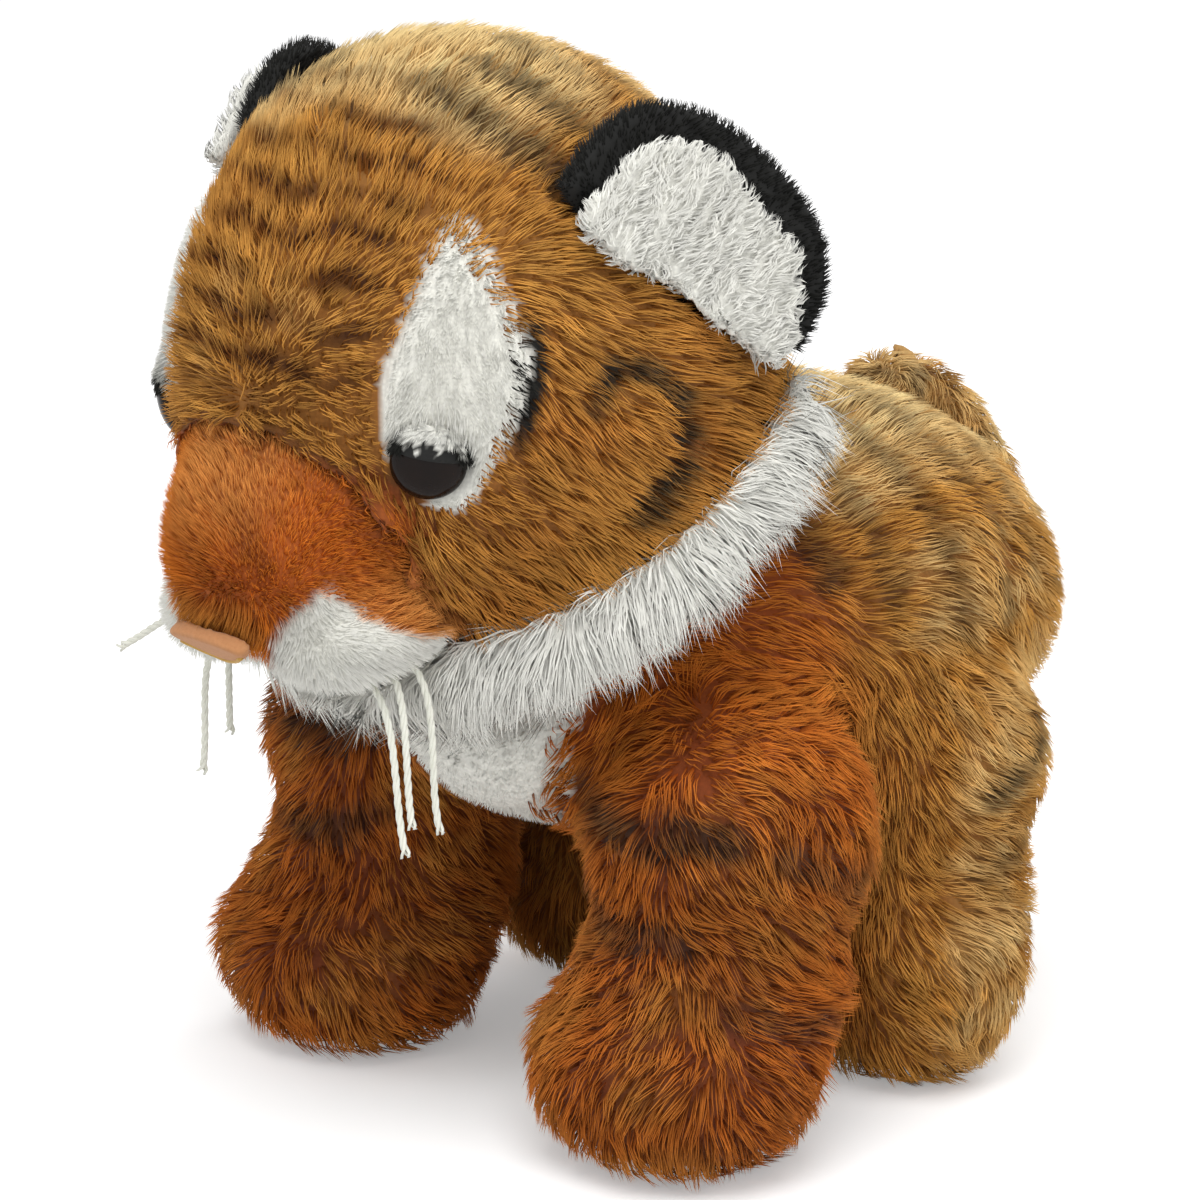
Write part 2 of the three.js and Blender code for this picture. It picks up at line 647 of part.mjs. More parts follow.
// Eyes and the patches around them
const eyeTurn = new THREE.Matrix4().makeRotationZ(EYE_TURN * DEGREES);
const facingEye = headFrame.clone().multiply(eyeTurn).multiply(new THREE.Matrix4().makeRotationX(Math.PI / 2));
const eyeDirection = new THREE.Vector3(0, 0, 1).transformDirection(facingEye);
const eyeOrigin = new THREE.Vector3(EYE_ACROSS, EYE_HEIGHT, 0).applyMatrix4(facingEye);
const eyeSurface = surfacePoint(skullForm(0), eyeOrigin, eyeDirection);
const eyeFrame = facingEye.clone().setPosition(eyeSurface).multiply(moved([0, 0, -EYE_SINK]));

function eyeBead() {
  const dome = Array.from({ length: DOME_STEPS + 1 }, (_, i) => {
    const rise = (Math.PI * i) / (2 * DOME_STEPS);
    return [EYE_RADIUS * Math.cos(rise) * (i < DOME_STEPS), EYE_RIM + EYE_DOME_HEIGHT * Math.sin(rise)];
  });
  const shank = [[0, -EYE_SHANK_LENGTH], [EYE_SHANK_RADIUS, -EYE_SHANK_LENGTH], [EYE_SHANK_RADIUS, 0]];
  return turnedOf([...shank, [EYE_RADIUS, 0], ...dome], eyeFrame);
}

function eyeWasher() {
  const inner = EYE_SHANK_RADIUS + WASHER_FIT;
  const low = -WASHER_DEPTH - WASHER_THICKNESS;
  const ring = [[inner, low], [WASHER_RADIUS, low], [WASHER_RADIUS, -WASHER_DEPTH], [inner, -WASHER_DEPTH]];
  return turnedOf([...ring, ring[0]], eyeFrame);
}

// Seat of the eye in the plush and the way of its shank and washer into the filling.
function eyeRoom() {
  const shank = EYE_SHANK_RADIUS + SEAM_GAP;
  const seat = EYE_RADIUS + SEAM_GAP;
  const washer = WASHER_RADIUS + SEAM_GAP;
  const low = -WASHER_DEPTH - WASHER_THICKNESS - SEAM_GAP;
  const high = SEAM_GAP - WASHER_DEPTH;
  return turnedOf([
    [0, -EYE_SHANK_LENGTH - SEAM_GAP], [shank, -EYE_SHANK_LENGTH - SEAM_GAP],
    [shank, low], [washer, low], [washer, high], [shank, high],
    [shank, -SEAM_GAP], [seat, -SEAM_GAP], [seat, CUT_OVERRUN], [0, CUT_OVERRUN],
  ], eyeFrame);
}

// Prism over the outline of one eye's patch, through the skin in front.
function patchRegion(grow) {
  const outline = outlineOf(PATCH_OUTLINE_SHARES, PATCH_WIDTH / 2 + grow, PATCH_HEIGHT / 2 + grow);
  return plateOf(outline, 0, SKULL_LENGTH, facingEye.clone().multiply(moved([PATCH_ACROSS, PATCH_RISE, 0])));
}

const eyesRoom = withMirrored(eyeRoom());
addPair([headGroup, headGroup], 'eye', eyeBead(), eyePlastic);
addPair([headGroup, headGroup], 'eye_washer', eyeWasher(), washerPlastic);

// Head
const headRoom = union([neckSocket, earRoom(), eyesRoom]);
const headShell = skullForm(0).subtract(skullForm(LONG_PILE, CORE_FACETS))
  .intersect(headSide).subtract(headRoom).subtract(muzzleForm(-SEAM_GAP));
const headSkin = headShell.subtract(withMirrored(patchRegion(SEAM_GAP)));
addPiece(headGroup, 'head_skin', headSkin, tanPlush);
addPiece(headGroup, 'head_stuffing', skullForm(LONG_PILE + SEAM_GAP, CORE_FACETS)
  .intersect(headSide).subtract(headRoom), fibreFilling);
addPair([headGroup, headGroup], 'eye_patch', headShell.intersect(patchRegion(0)), whitePlush);

// Muzzle, with its filling against the head's
const faceFilling = skullForm(LONG_PILE, CORE_FACETS);
const noseFrame = inFace(NOSE_AT).multiply(new THREE.Matrix4().makeRotationX((90 + NOSE_TIP) * DEGREES));

function nosePad() {
  const outline = outlineOf(NOSE_OUTLINE_SHARES, NOSE_WIDTH / 2, NOSE_HEIGHT / 2);
  return plateOf(outline, -NOSE_THICKNESS, 0, noseFrame, NOSE_EDGE);
}

function padsForm(grow) {
  const pad = [PAD_WIDTH, PAD_LENGTH, PAD_HEIGHT].map((size) => size / 2 + grow);
  const chin = [CHIN_WIDTH, CHIN_LENGTH, CHIN_HEIGHT].map((size) => size / 2 + grow);
  return withMirrored(ellipsoidOf(pad, inFace(PAD_AT))).add(ellipsoidOf(chin, inFace(CHIN_AT)));
}

// Thread that starts inside the pad and bends down to its end.
function thread({ root, endShares }, radius) {
  const start = new THREE.Vector3(...root).applyMatrix4(faceFrame);
  const reach = new THREE.Vector3(...endShares).multiplyScalar(WHISKER_DROP);
  const outward = new THREE.Vector3(reach.x, reach.y, 0).normalize();
  const path = new THREE.CatmullRomCurve3([
    start.clone().addScaledVector(outward, -WHISKER_ROOT_DEPTH),
    start,
    start.clone().addScaledVector(reach, 0.5).addScaledVector(outward, radius),
    start.clone().add(reach),
  ]);
  const circle = new THREE.Shape().absarc(0, 0, radius, 0, 2 * Math.PI);
  return solidOf(new THREE.ExtrudeGeometry(circle, {
    steps: THREAD_STEPS, curveSegments: ROUND_SIDES / 4, extrudePath: path,
  }));
}

const face = skullForm(-SEAM_GAP).add(muzzleForm(-SEAM_GAP));
const threadRoom = union(WHISKERS.map((whisker) => thread(whisker, WHISKER_DIAMETER / 2 + SEAM_GAP)));
const muzzleSkin = muzzleForm(0).subtract(muzzleForm(SHORT_PILE, LIMB_CORE_FACETS)).subtract(faceFilling);
const muzzleCore = muzzleForm(SHORT_PILE + SEAM_GAP, LIMB_CORE_FACETS).subtract(faceFilling);
addPiece(headGroup, 'muzzle_skin', muzzleSkin, rustPlush);
addPiece(headGroup, 'muzzle_stuffing', muzzleCore, fibreFilling);
addPiece(headGroup, 'whisker_pads', padsForm(0).subtract(face).subtract(threadRoom), whitePlush);
addPiece(headGroup, 'nose', nosePad().subtract(padsForm(SEAM_GAP)).subtract(face), noseFabric);
for (const whisker of WHISKERS) {
  addPiece(headGroup, whisker.name, thread(whisker, WHISKER_DIAMETER / 2), flossThread);
}

// Ruff
function ruffRoll() {
  const circle = new THREE.Shape().absarc(RUFF_RADIUS, 0, RUFF_THICKNESS / 2, 0, 2 * Math.PI);
  const around = circle.getPoints(ROUND_SIDES / 2).map(({ x, y }) => [x, y + RUFF_ALONG_NECK]);
  return turnedOf(around, neckFrame, 2 * ROUND_SIDES);
}

const ruffSide = boxOf([RUFF_SPLIT / 2, -CREASE_REACH, 0], [CREASE_REACH, RUFF_TOP, CREASE_REACH], neckFrame);
const ruffLeft = ruffRoll().intersect(ruffSide).intersect(headSide)
  .subtract(face).subtract(padsForm(SEAM_GAP)).subtract(earRoom());
addPair([headGroup, headGroup], 'ruff', ruffLeft, whitePlush);

// Stand the cub on the plane of its soles, centred on its bounding box
const bounds = new THREE.Box3().setFromObject(tiger, true);
const centre = bounds.getCenter(new THREE.Vector3());
tiger.position.set(-centre.x, -centre.y, 0);
tiger.updateMatrixWorld(true);

export default tiger;
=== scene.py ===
"""Plush tiger cub: sewn covers, fibre filling, and the pile that stands on each cover.

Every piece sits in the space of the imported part. Lengths are in metres unless a name says mm.
Colour, combing and keep functions take places in mm, and their numbers are places and widths in mm.
The pile is made as closed tapered fibres rooted on the covers, combed, waved and gathered in locks.
"""
import math

import bmesh
import bpy
import numpy as np
from mathutils import Matrix, Vector
from mathutils.bvhtree import BVHTree
from mathutils.kdtree import KDTree


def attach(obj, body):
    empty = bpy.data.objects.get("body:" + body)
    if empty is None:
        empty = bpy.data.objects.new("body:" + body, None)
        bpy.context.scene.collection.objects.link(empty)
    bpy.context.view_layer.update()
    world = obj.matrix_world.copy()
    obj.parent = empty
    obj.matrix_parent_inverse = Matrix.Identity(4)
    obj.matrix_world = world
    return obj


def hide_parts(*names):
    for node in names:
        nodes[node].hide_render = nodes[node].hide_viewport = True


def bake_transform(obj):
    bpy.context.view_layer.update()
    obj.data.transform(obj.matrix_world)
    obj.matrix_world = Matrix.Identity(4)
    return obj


MM = 0.001
SIDES = {"left": 1, "right": -1}

# Camera at the photograph's viewing angle
CAMERA_AZIMUTH, CAMERA_ELEVATION, CAMERA_DISTANCE = 46.0, 14.5, 0.9
CAMERA_TARGET = Vector((0, 0.007337, 0.1))
camera = bpy.data.objects.new("camera", bpy.data.cameras.new("camera"))
bpy.context.scene.collection.objects.link(camera)
bpy.context.scene.camera = camera
turn, rise = math.radians(CAMERA_AZIMUTH), math.radians(CAMERA_ELEVATION)
back = Vector((math.sin(turn) * math.cos(rise), -math.cos(turn) * math.cos(rise), math.sin(rise)))
camera.location = CAMERA_TARGET + back * CAMERA_DISTANCE
camera.rotation_euler = (-back).to_track_quat("-Z", "Y").to_euler()
camera.data.sensor_width = 36
camera.data.lens = 145.8
camera.data.shift_x = -0.0564
camera.data.shift_y = -0.0583
camera.data.clip_start, camera.data.clip_end = 0.05, 20

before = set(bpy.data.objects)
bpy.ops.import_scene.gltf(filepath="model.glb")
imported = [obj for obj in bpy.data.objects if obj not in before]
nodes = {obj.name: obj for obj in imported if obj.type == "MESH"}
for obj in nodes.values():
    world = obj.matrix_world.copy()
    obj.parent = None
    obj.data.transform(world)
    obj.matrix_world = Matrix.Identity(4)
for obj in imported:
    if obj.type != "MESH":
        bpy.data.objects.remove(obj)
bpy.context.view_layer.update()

# Frame of the head: it turns about the neck, and the face is level in it
NECK_MM = np.array([0.0, -14.663, 106.0])
NECK_AXIS = np.array([0, -0.642788, 0.766044])
BOW = math.radians(18)


def to_head(points_mm):
    """Places in the level head's frame, from places in the part's frame."""
    x, y, z = (points_mm - NECK_MM).T
    c, s = math.cos(BOW), math.sin(BOW)
    return np.stack([x, y * c + z * s, -y * s + z * c], 1)


def from_head(vectors):
    """Directions in the part's frame, from directions in the level head's frame."""
    x, y, z = vectors.T
    c, s = math.cos(BOW), math.sin(BOW)
    return np.stack([x, y * c - z * s, y * s + z * c], 1)


def unit(ways):
    """The same directions with a length of one."""
    return ways / np.maximum(np.linalg.norm(ways, axis=-1, keepdims=True), 1e-9)


def linear(text):
    """Linear colour from an sRGB hex value."""
    parts = np.array([int(text[i:i + 2], 16) / 255 for i in (1, 3, 5)])
    return np.where(parts <= 0.04045, parts / 12.92, ((parts + 0.055) / 1.055) ** 2.4)


# Materials
def add_node(tree, kind, settings=(), links=()):
    """Adds a node, sets its properties and inputs, and links its inputs to other nodes' outputs."""
    node = tree.nodes.new(kind)
    for name, value in dict(settings).items():
        if isinstance(name, str) and hasattr(node, name):
            setattr(node, name, value)
        else:
            node.inputs[name].default_value = value
    for name, output in dict(links).items():
        tree.links.new(output, node.inputs[name])
    return node


def new_material(name):
    material = bpy.data.materials.new(name)
    material.use_nodes = True
    material.node_tree.nodes.clear()
    return material, material.node_tree


def shaded(material, settings, links):
    """The material, with its shader and its output."""
    tree = material.node_tree
    shader = add_node(tree, "ShaderNodeBsdfPrincipled", settings, links)
    add_node(tree, "ShaderNodeOutputMaterial", (), {"Surface": shader.outputs["BSDF"]})
    return material


def texture(tree, kind, size_mm, settings):
    """A texture fixed to the piece, with features of this size."""
    place = add_node(tree, "ShaderNodeTexCoord")
    return add_node(tree, kind, {"Scale": 1000 / size_mm, **settings}, {"Vector": place.outputs["Object"]})


def colour_with_level(tree, value, value_range, level_range):
    """The pile's own colour times a level that follows a texture's value, and that level."""
    colour = add_node(tree, "ShaderNodeAttribute", {"attribute_name": "pile_colour"})
    limits = dict(zip(("From Min", "From Max", "To Min", "To Max"), (*value_range, *level_range)))
    level = add_node(tree, "ShaderNodeMapRange", limits, {"Value": value}).outputs["Result"]
    scaled = add_node(tree, "ShaderNodeVectorMath", {"operation": "SCALE"},
                      {0: colour.outputs["Color"], "Scale": level})
    return scaled.outputs["Vector"], level


def pile_material(name, roughness, sheen, grain_mm, grain_low):
    """Dyed pile fibres: their own colour from root to tip, with a fine uneven tone."""
    material, tree = new_material(name)
    grain = texture(tree, "ShaderNodeTexNoise", grain_mm, {"Detail": 2.0, "Roughness": 0.6})
    colour = colour_with_level(tree, grain.outputs["Fac"], (0.3, 0.7), (grain_low, 1.06))[0]
    return shaded(material, {"Roughness": roughness, "Sheen Weight": sheen, "Sheen Roughness": 0.45,
                             "Specular IOR Level": 0.1}, {"Base Color": colour})


def cloth_material(name, thread_mm):
    """Knitted backing cloth under the pile, in the pile's darker root colour, which carries the roots'
    painted shade so that bare cloth reads as deep pile, with its fine knit that is darker in its grooves as
    painted shade.
    """
    material, tree = new_material(name)
    knit = texture(tree, "ShaderNodeTexVoronoi", thread_mm, {"Randomness": 0.35})
    # the knit is darker away from each loop's middle, where the bump sinks: painted shade in the grooves
    colour, level = colour_with_level(tree, knit.outputs["Distance"], (0.0, 0.6), (1.0, 0.8))
    bump = add_node(tree, "ShaderNodeBump", {"Strength": 0.4, "Distance": 0.0003}, {"Height": level})
    return shaded(material, {"Roughness": 0.9}, {"Base Color": colour, "Normal": bump.outputs["Normal"]})


def mottled_material(name, light, dark, roughness, scale_mm, bump_mm, sheen=0.0, coat=0.0, ior=1.5):
    """A surface whose colour wanders between two close shades, with a fine relief at the same scale. The
    darker shade lies in the relief's dips, so the mottling is partly random tone and partly painted shade.
    """
    material, tree = new_material(name)
    noise = texture(tree, "ShaderNodeTexNoise", scale_mm, {"Detail": 3.0}).outputs["Fac"]
    # the darker colour goes where the relief is low: painted shade in the dips, over a random tone
    mixed = add_node(tree, "ShaderNodeMix",
                     {"data_type": "RGBA", 6: (*linear(dark), 1), 7: (*linear(light), 1)}, {0: noise})
    bump = add_node(tree, "ShaderNodeBump", {"Strength": 0.5, "Distance": bump_mm * MM}, {"Height": noise})
    return shaded(material, {"Roughness": roughness, "Sheen Weight": sheen, "Coat Weight": coat,
                             "Coat Roughness": 0.03, "IOR": ior},
                  {"Base Color": mixed.outputs[2], "Normal": bump.outputs["Normal"]})


# Acrylic plush: soft fibres with a faint silky sheen
long_pile = pile_material("acrylic_long_pile", 0.75, 0.02, 2.5, 0.84)
# Sheared polyester plush: duller and more even
short_pile = pile_material("polyester_short_pile", 0.85, 0.03, 1.5, 0.92)
# Black polyester pile: deep and matt, so that only its tips show
black_pile = pile_material("black_polyester_pile", 0.8, 0.06, 1.5, 0.8)
# Sherpa fleece: matt white fibres in curls
fleece_pile = pile_material("sherpa_fleece", 0.95, 0.2, 2.0, 0.94)
# Warp knit under the pile
backing = cloth_material("warp_knit_backing", 0.9)
# Polyester fibre fill: matt white, cottony
filling = mottled_material("polyester_fibre_fill", "#f4f2ec", "#dedbd2", 0.95, 3, 0.4)
# Moulded acrylic bead: wet gloss over near black brown
eye_gloss = mottled_material("moulded_acrylic_eye", "#1d120d", "#0d0908", 0.12, 4, 0.0, coat=0.05, ior=1.22)
# Natural polyethylene: milky, low gloss
washer_white = mottled_material("polyethylene_washer", "#dededb", "#cfcfca", 0.4, 5, 0.02)
# Brushed polyester velour: peach, soft edge light
nose_velour = mottled_material("polyester_velour_nose", "#bd8759", "#a36c40", 0.85, 0.7, 0.12, sheen=0.1)
# Yellow rayon overcasting thread
yellow_floss = mottled_material("yellow_edge_thread", "#c9a04a", "#a87f30", 0.6, 0.8, 0.1)
# Cotton embroidery floss: off white, slight lustre
floss = mottled_material("cotton_floss", "#e6e6dc", "#cfd0c2", 0.6, 1.2, 0.05, sheen=0.2)


# Mesh helpers
def link(ob):
    bpy.context.scene.collection.objects.link(ob)
    return ob


def as_object(bm, name, *materials):
    """A new object with the shape of a bmesh, which is freed."""
    mesh = bpy.data.meshes.new(name)
    bm.to_mesh(mesh)
    bm.free()
    for material in materials:
        mesh.materials.append(material)
    return link(bpy.data.objects.new(name, mesh))


def joined(name, *node_names):
    """A new object with copies of these nodes' meshes, their doubles merged."""
    bm = bmesh.new()
    for node in node_names:
        bm.from_mesh(nodes[node].data)
    bmesh.ops.remove_doubles(bm, verts=bm.verts, dist=1e-6)
    ob = as_object(bm, name)
    ob.data.materials.clear()
    return ob


def applied(ob):
    """Applies all of the object's modifiers."""
    graph = bpy.context.evaluated_depsgraph_get()
    mesh = bpy.data.meshes.new_from_object(ob.evaluated_get(graph))
    ob.modifiers.clear()
    ob.data = mesh
    return ob


def rounded(ob, voxel_mm, smooths):
    """One closed skin around the object's solids, its facets smoothed away."""
    cut = ob.modifiers.new("voxels", "REMESH")
    cut.mode, cut.voxel_size = "VOXEL", voxel_mm * MM
    soft = ob.modifiers.new("soft", "SMOOTH")
    soft.factor, soft.iterations = 0.5, smooths
    return applied(ob)


def hollowed(ob, wall_mm):
    """Cloth of this thickness on the inner side of the surface."""
    wall = ob.modifiers.new("wall", "SOLIDIFY")
    wall.thickness, wall.offset = wall_mm * MM, -1.0
    return applied(ob)


def read(rows, field, width=3, kind=np.float32):
    """The values of a field of a mesh, a row for each of its rows."""
    values = np.empty(len(rows) * width, kind)
    rows.foreach_get(field, values)
    return values.reshape(-1, width)


def corners(ob):
    return read(ob.data.vertices, "co").astype(float)


def vertex_normals(ob):
    return read(ob.data.vertex_normals, "vector").astype(float)


def triangles(ob):
    ob.data.calc_loop_triangles()
    return read(ob.data.loop_triangles, "vertices", kind=np.int32)


def set_corners(ob, co):
    ob.data.vertices.foreach_set("co", co.astype(np.float32).ravel())
    ob.data.update()


def smooth_shaded(ob):
    ob.data.polygons.foreach_set("use_smooth", np.ones(len(ob.data.polygons), bool))
    ob.data.update()
    return ob


def colour_points(ob, colours):
    layer = ob.data.color_attributes.new("pile_colour", "FLOAT_COLOR", "POINT")
    rgba = np.ones((len(colours), 4), np.float32)
    rgba[:, :3] = colours
    layer.data.foreach_set("color", rgba.ravel())


def search_tree(pieces):
    """Search tree over these objects."""
    points, faces = [], []
    for ob in pieces:
        start = len(points)
        points.extend(v.co.copy() for v in ob.data.vertices)
        faces.extend([start + i for i in p.vertices] for p in ob.data.polygons)
    return BVHTree.FromPolygons(points, faces)


def solid_tree(*names):
    """Search tree over the CAD solids of these names."""
    return search_tree([nodes[name] for name in names])


def rest_of(*names):
    """Search tree over every CAD solid but these and the whiskers."""
    left = set(nodes) - set(names)
    return solid_tree(*sorted(n for n in left if not n.startswith(("whisker_left", "whisker_right"))))


def covered(points, normals, tree, reach_mm):
    """True where a ray along the normal meets one of the tree's solids within reach."""
    return np.array([tree.ray_cast(Vector(p), Vector(n), reach_mm * MM)[0] is not None
                     for p, n in zip(points, normals)], bool)


def neighbours_mean(ob, values, rounds):
    """Values averaged over each vertex's neighbours, a few times."""
    a, b = read(ob.data.edges, "vertices", 2, np.int32).T
    count = np.bincount(a, minlength=len(values)) + np.bincount(b, minlength=len(values))
    for _ in range(rounds):
        total = np.bincount(a, values[b], len(values)) + np.bincount(b, values[a], len(values))
        values = 0.5 * values + 0.5 * total / np.maximum(count, 1)
    return values


def bridged(ob, rounds):
    """Fills the creases of a surface without drawing in what bulges."""
    co, no = corners(ob), vertex_normals(ob)
    soft = np.stack([neighbours_mean(ob, co[:, k], rounds) for k in range(3)], 1)
    lift = np.sum((soft - co) * no, axis=1)
    set_corners(ob, co + no * np.where(lift > 0, lift, lift * 0.25)[:, None])
    return ob


BACKED_DEPTH, BACKED_START, BACKED_REACH = 0.8, 0.6, 4.0
cover_depth = {}


def sunk(ob, depth_mm, others):
    """Draws the free surface in by the pile's depth, and the surface that meets other pieces a little."""
    co, no = corners(ob), vertex_normals(ob)
    backed = covered(co - no * BACKED_START * MM, no, others, BACKED_REACH)
    free = depth_mm(co / MM) if callable(depth_mm) else depth_mm
    depth = neighbours_mean(ob, np.where(backed, BACKED_DEPTH, free), 3)
    set_corners(ob, co - no * depth[:, None] * MM)
    cover_depth[ob.name] = depth
    return ob


# Colours of the pile: each is a pair, at the root and at the tip. The roots are darker than the tips as
# painted shade deep in the pile.
def hues(root, tip):
    return linear(root), linear(tip)


RUST = hues("#6a2a06", "#cc742a")
BROWN = hues("#7e4410", "#d09244")
TAN = hues("#91591e", "#d89e4c")
PALE = hues("#c19453", "#f3d699")
ORANGE = hues("#a34a10", "#e8862e")
LIGHT_ORANGE = hues("#b0642a", "#f4b062")
WHITE = hues("#f0efe6", "#f7f6ee")
BLACK = hues("#0c0c0b", "#2a2a27")
STRIPE = hues("#1c1710", "#41382a")
BAND = hues("#3c1a07", "#653612")
COAT = (RUST, BROWN, TAN, PALE)


def mix(a, b, share):
    return a + (b - a) * share[:, None]


def blend_pairs(tones, others, share):
    """A pair of colours turned towards another pair by a share at each place."""
    return tuple(mix(own, other, share) for own, other in zip(tones, others))


def coat_shades(share):
    """Colours of the coat, from rust to pale as share goes from 0 to 1."""
    place = np.clip(share, 0, 1) * (len(COAT) - 1)
    root, tip = np.zeros((len(share), 3)), np.zeros((len(share), 3))
    for k, (root_colour, tip_colour) in enumerate(COAT):
        near = np.clip(1 - np.abs(place - k), 0, 1)[:, None]
        root, tip = root + near * root_colour, tip + near * tip_colour
    return root, tip


def plain(tones):
    def colours(points_mm, normals):
        return tuple(colour * np.ones((len(points_mm), 1)) for colour in tones)
    return colours


white_colours, black_colours = plain(WHITE), plain(BLACK)


def step(value, low_edge, high_edge):
    t = np.clip((value - low_edge) / (high_edge - low_edge), 0, 1)
    return t * t * (3 - 2 * t)


def wander(points_mm, wave_mm, seed):
    """Smooth noise between about -1 and 1 with this wavelength."""
    rng = np.random.default_rng(seed)
    total = np.zeros(len(points_mm))
    for k in range(6):
        way = rng.normal(size=3)
        way /= np.linalg.norm(way)
        total += np.sin(points_mm @ way * (2 * math.pi / (wave_mm * (0.6 + 0.25 * k))) + rng.uniform(0, 6.28))
    return total / 2.6


def waves(place_mm, spacing_mm):
    """Waves between 0 and 1 with this spacing."""
    return 0.5 + 0.5 * np.cos(2 * math.pi * place_mm / spacing_mm)


def off_segment(points, a, b):
    """From the nearest place between a and b to each point."""
    along = b - a
    t = np.clip((points - a) @ along / (along @ along), 0, 1)
    return points - a - t[:, None] * along


def near_line(points_mm, normals, line, width_mm, fade_mm=1.6):
    """Share from 1 on a line through these places to 0 past its width, measured along the surface."""
    line = np.array(line, float)
    best = np.full(len(points_mm), 1e9)
    for a, b in zip(line[:-1], line[1:]):
        gap = off_segment(points_mm, a, b)
        lift = np.clip(np.sum(gap * normals, axis=1), -6, 6)
        best = np.minimum(best, np.linalg.norm(gap - lift[:, None] * normals, axis=1))
    return 1 - step(best, width_mm / 2, width_mm / 2 + fade_mm)


def outline_distance(uv, outline):
    """Signed distance to a closed outline, below zero inside."""
    best = np.full(len(uv), 1e9)
    inside = np.zeros(len(uv), bool)
    for a, b in zip(outline, np.roll(outline, -1, 0)):
        best = np.minimum(best, np.linalg.norm(off_segment(uv, a, b), axis=1))
        crosses = (a[1] > uv[:, 1]) != (b[1] > uv[:, 1])
        with np.errstate(divide="ignore", invalid="ignore"):
            x = (b[0] - a[0]) * (uv[:, 1] - a[1]) / (b[1] - a[1]) + a[0]
        inside ^= crosses & (uv[:, 0] < x)
    return np.where(inside, -best, best)


# Stripes on the left, which the right mirrors: places along the middle, width in mm and share of dark
# Head stripes, in the level head's frame
HEAD_STRIPES = [
    ([(49, -29, 48), (52, -24, 53), (55, -19, 50), (57, -15, 42), (56.5, -16, 35), (55, -19, 30),
      (51, -28, 25)], 3.4, 1.0),
    ([(12, -17, 96), (21, -16, 92), (30, -16, 87), (36, -14, 81)], 4.6, 0.8),
    ([(14, -6, 96.5), (23, -5, 92.5), (31, -4, 88), (36, -2, 83)], 4.6, 0.8),
    ([(8, 6, 97), (18, 8, 95), (28, 10, 88)], 4.2, 0.6),
    ([(10, 20, 94), (22, 22, 88), (32, 22, 80)], 4.2, 0.6),
    ([(8, 34, 86), (20, 36, 78), (30, 34, 70)], 4.0, 0.55),
    ([(58, -4, 58), (58, 4, 48), (55, 10, 38)], 3.6, 0.6),
    ([(50, 24, 62), (53, 22, 50), (52, 24, 38)], 3.6, 0.55),
]
# Body stripes, in the part's frame
BODY_STRIPES = [
    ([(22, 2, 118), (34, 5, 108), (42, 6, 99)], 5.0, 0.7),
    ([(14, 16, 120), (30, 18, 114), (40, 19, 104), (47, 18, 94)], 3.8, 0.5),
    ([(12, 30, 121), (30, 31, 116), (42, 33, 106), (50, 34, 95), (53, 33, 84)], 4.0, 0.6),
    ([(12, 44, 121), (28, 45, 117), (42, 48, 108), (50, 49, 98), (55, 47, 86)], 4.0, 0.6),
    ([(14, 58, 119), (28, 60, 114), (40, 61, 105), (50, 60, 92)], 3.8, 0.55),
    ([(18, 72, 110), (30, 73, 100), (40, 70, 88)], 3.8, 0.5),
    ([(58, 50, 72), (63, 46, 66), (65, 38, 61), (63, 31, 57)], 3.4, 0.85),
    ([(60, 48, 48), (64, 40, 44), (60, 29, 42)], 3.2, 0.6),
    ([(28, -40, 66), (36, -41, 62), (46, -40, 61), (58, -34, 62)], 5.0, 0.85),
    ([(26, -44, 48), (34, -44, 45), (44, -42, 43), (52, -38, 44)], 5.0, 0.75),
    ([(68, -30, 60), (70, -18, 54), (66, -8, 52)], 4.0, 0.6),
    ([(66, -40, 34), (70, -30, 30), (68, -18, 28)], 4.0, 0.5),
]


def striped(points, normals, stripes, seed):
    """Share of dark stripe at each place, ragged along its edges; both sides are folded onto the left."""
    fold = np.where(points[:, :1] < 0, [-1.0, 1.0, 1.0], 1.0)
    side, facing = points * fold, normals * fold
    side = side + np.stack([wander(points, 9, seed + k) for k in range(3)], 1) * 0.9
    share = np.zeros(len(points))
    for line, width, strength in stripes:
        share = np.maximum(share, strength * near_line(side, facing, line, width))
    return share * np.clip(0.85 + 0.3 * wander(points, 4, seed + 7), 0.4, 1)


# Seam between the orange of the muzzle and the cheek, in the head's frame: places across and up
MUZZLE_SEAM = np.array([(-9, 53.5), (9, 53.5), (18.5, 48.5), (25, 46), (31.5, 38), (31.5, 30), (30.5, 22),
                        (29.5, 10), (27, 2), (-27, 2)])
# Upper edge of the white on the lip, in the head's frame: degrees round from the nose, height
LIP_TURNS = [0, 16, 21, 31, 41, 48, 52, 60, 67, 77, 92, 110]
LIP_HEIGHTS = [13, 14, 20.5, 25.8, 29, 26.5, 24, 20, 15.6, 12.6, 9.6, 7]
# How far back the muzzle's orange, the fringe over the nose and the eye patches reach, in the head's frame
MUZZLE_BACK, FRINGE_BACK, PATCH_BACK = -34, -60, -5
NOSE_TOP, FAR_AWAY = 24, 50.0


def seam_gap(h):
    """Distance to the muzzle seam, below zero on its orange side."""
    gap = outline_distance(np.stack([np.abs(h[:, 0]), h[:, 2]], 1), MUZZLE_SEAM) + 0.5 * wander(h, 6, 47)
    return np.where(h[:, 1] < MUZZLE_BACK, gap, FAR_AWAY)


def lip_gap(h):
    """Height above the upper edge of the white on the lip."""
    turn_round = np.degrees(np.arctan2(np.abs(h[:, 0]), -(h[:, 1] + 50)))
    return h[:, 2] - np.interp(turn_round, LIP_TURNS, LIP_HEIGHTS) + 0.4 * wander(h, 3, 44)


def above_nose(h):
    """Share from 1 just above the nose to 0 a few millimetres away."""
    beside, over = np.abs(h[:, 0]), np.abs(h[:, 2] - NOSE_TOP)
    return (1 - step(beside, 9, 14)) * (1 - step(over, 2.5, 7)) * (h[:, 1] < FRINGE_BACK)


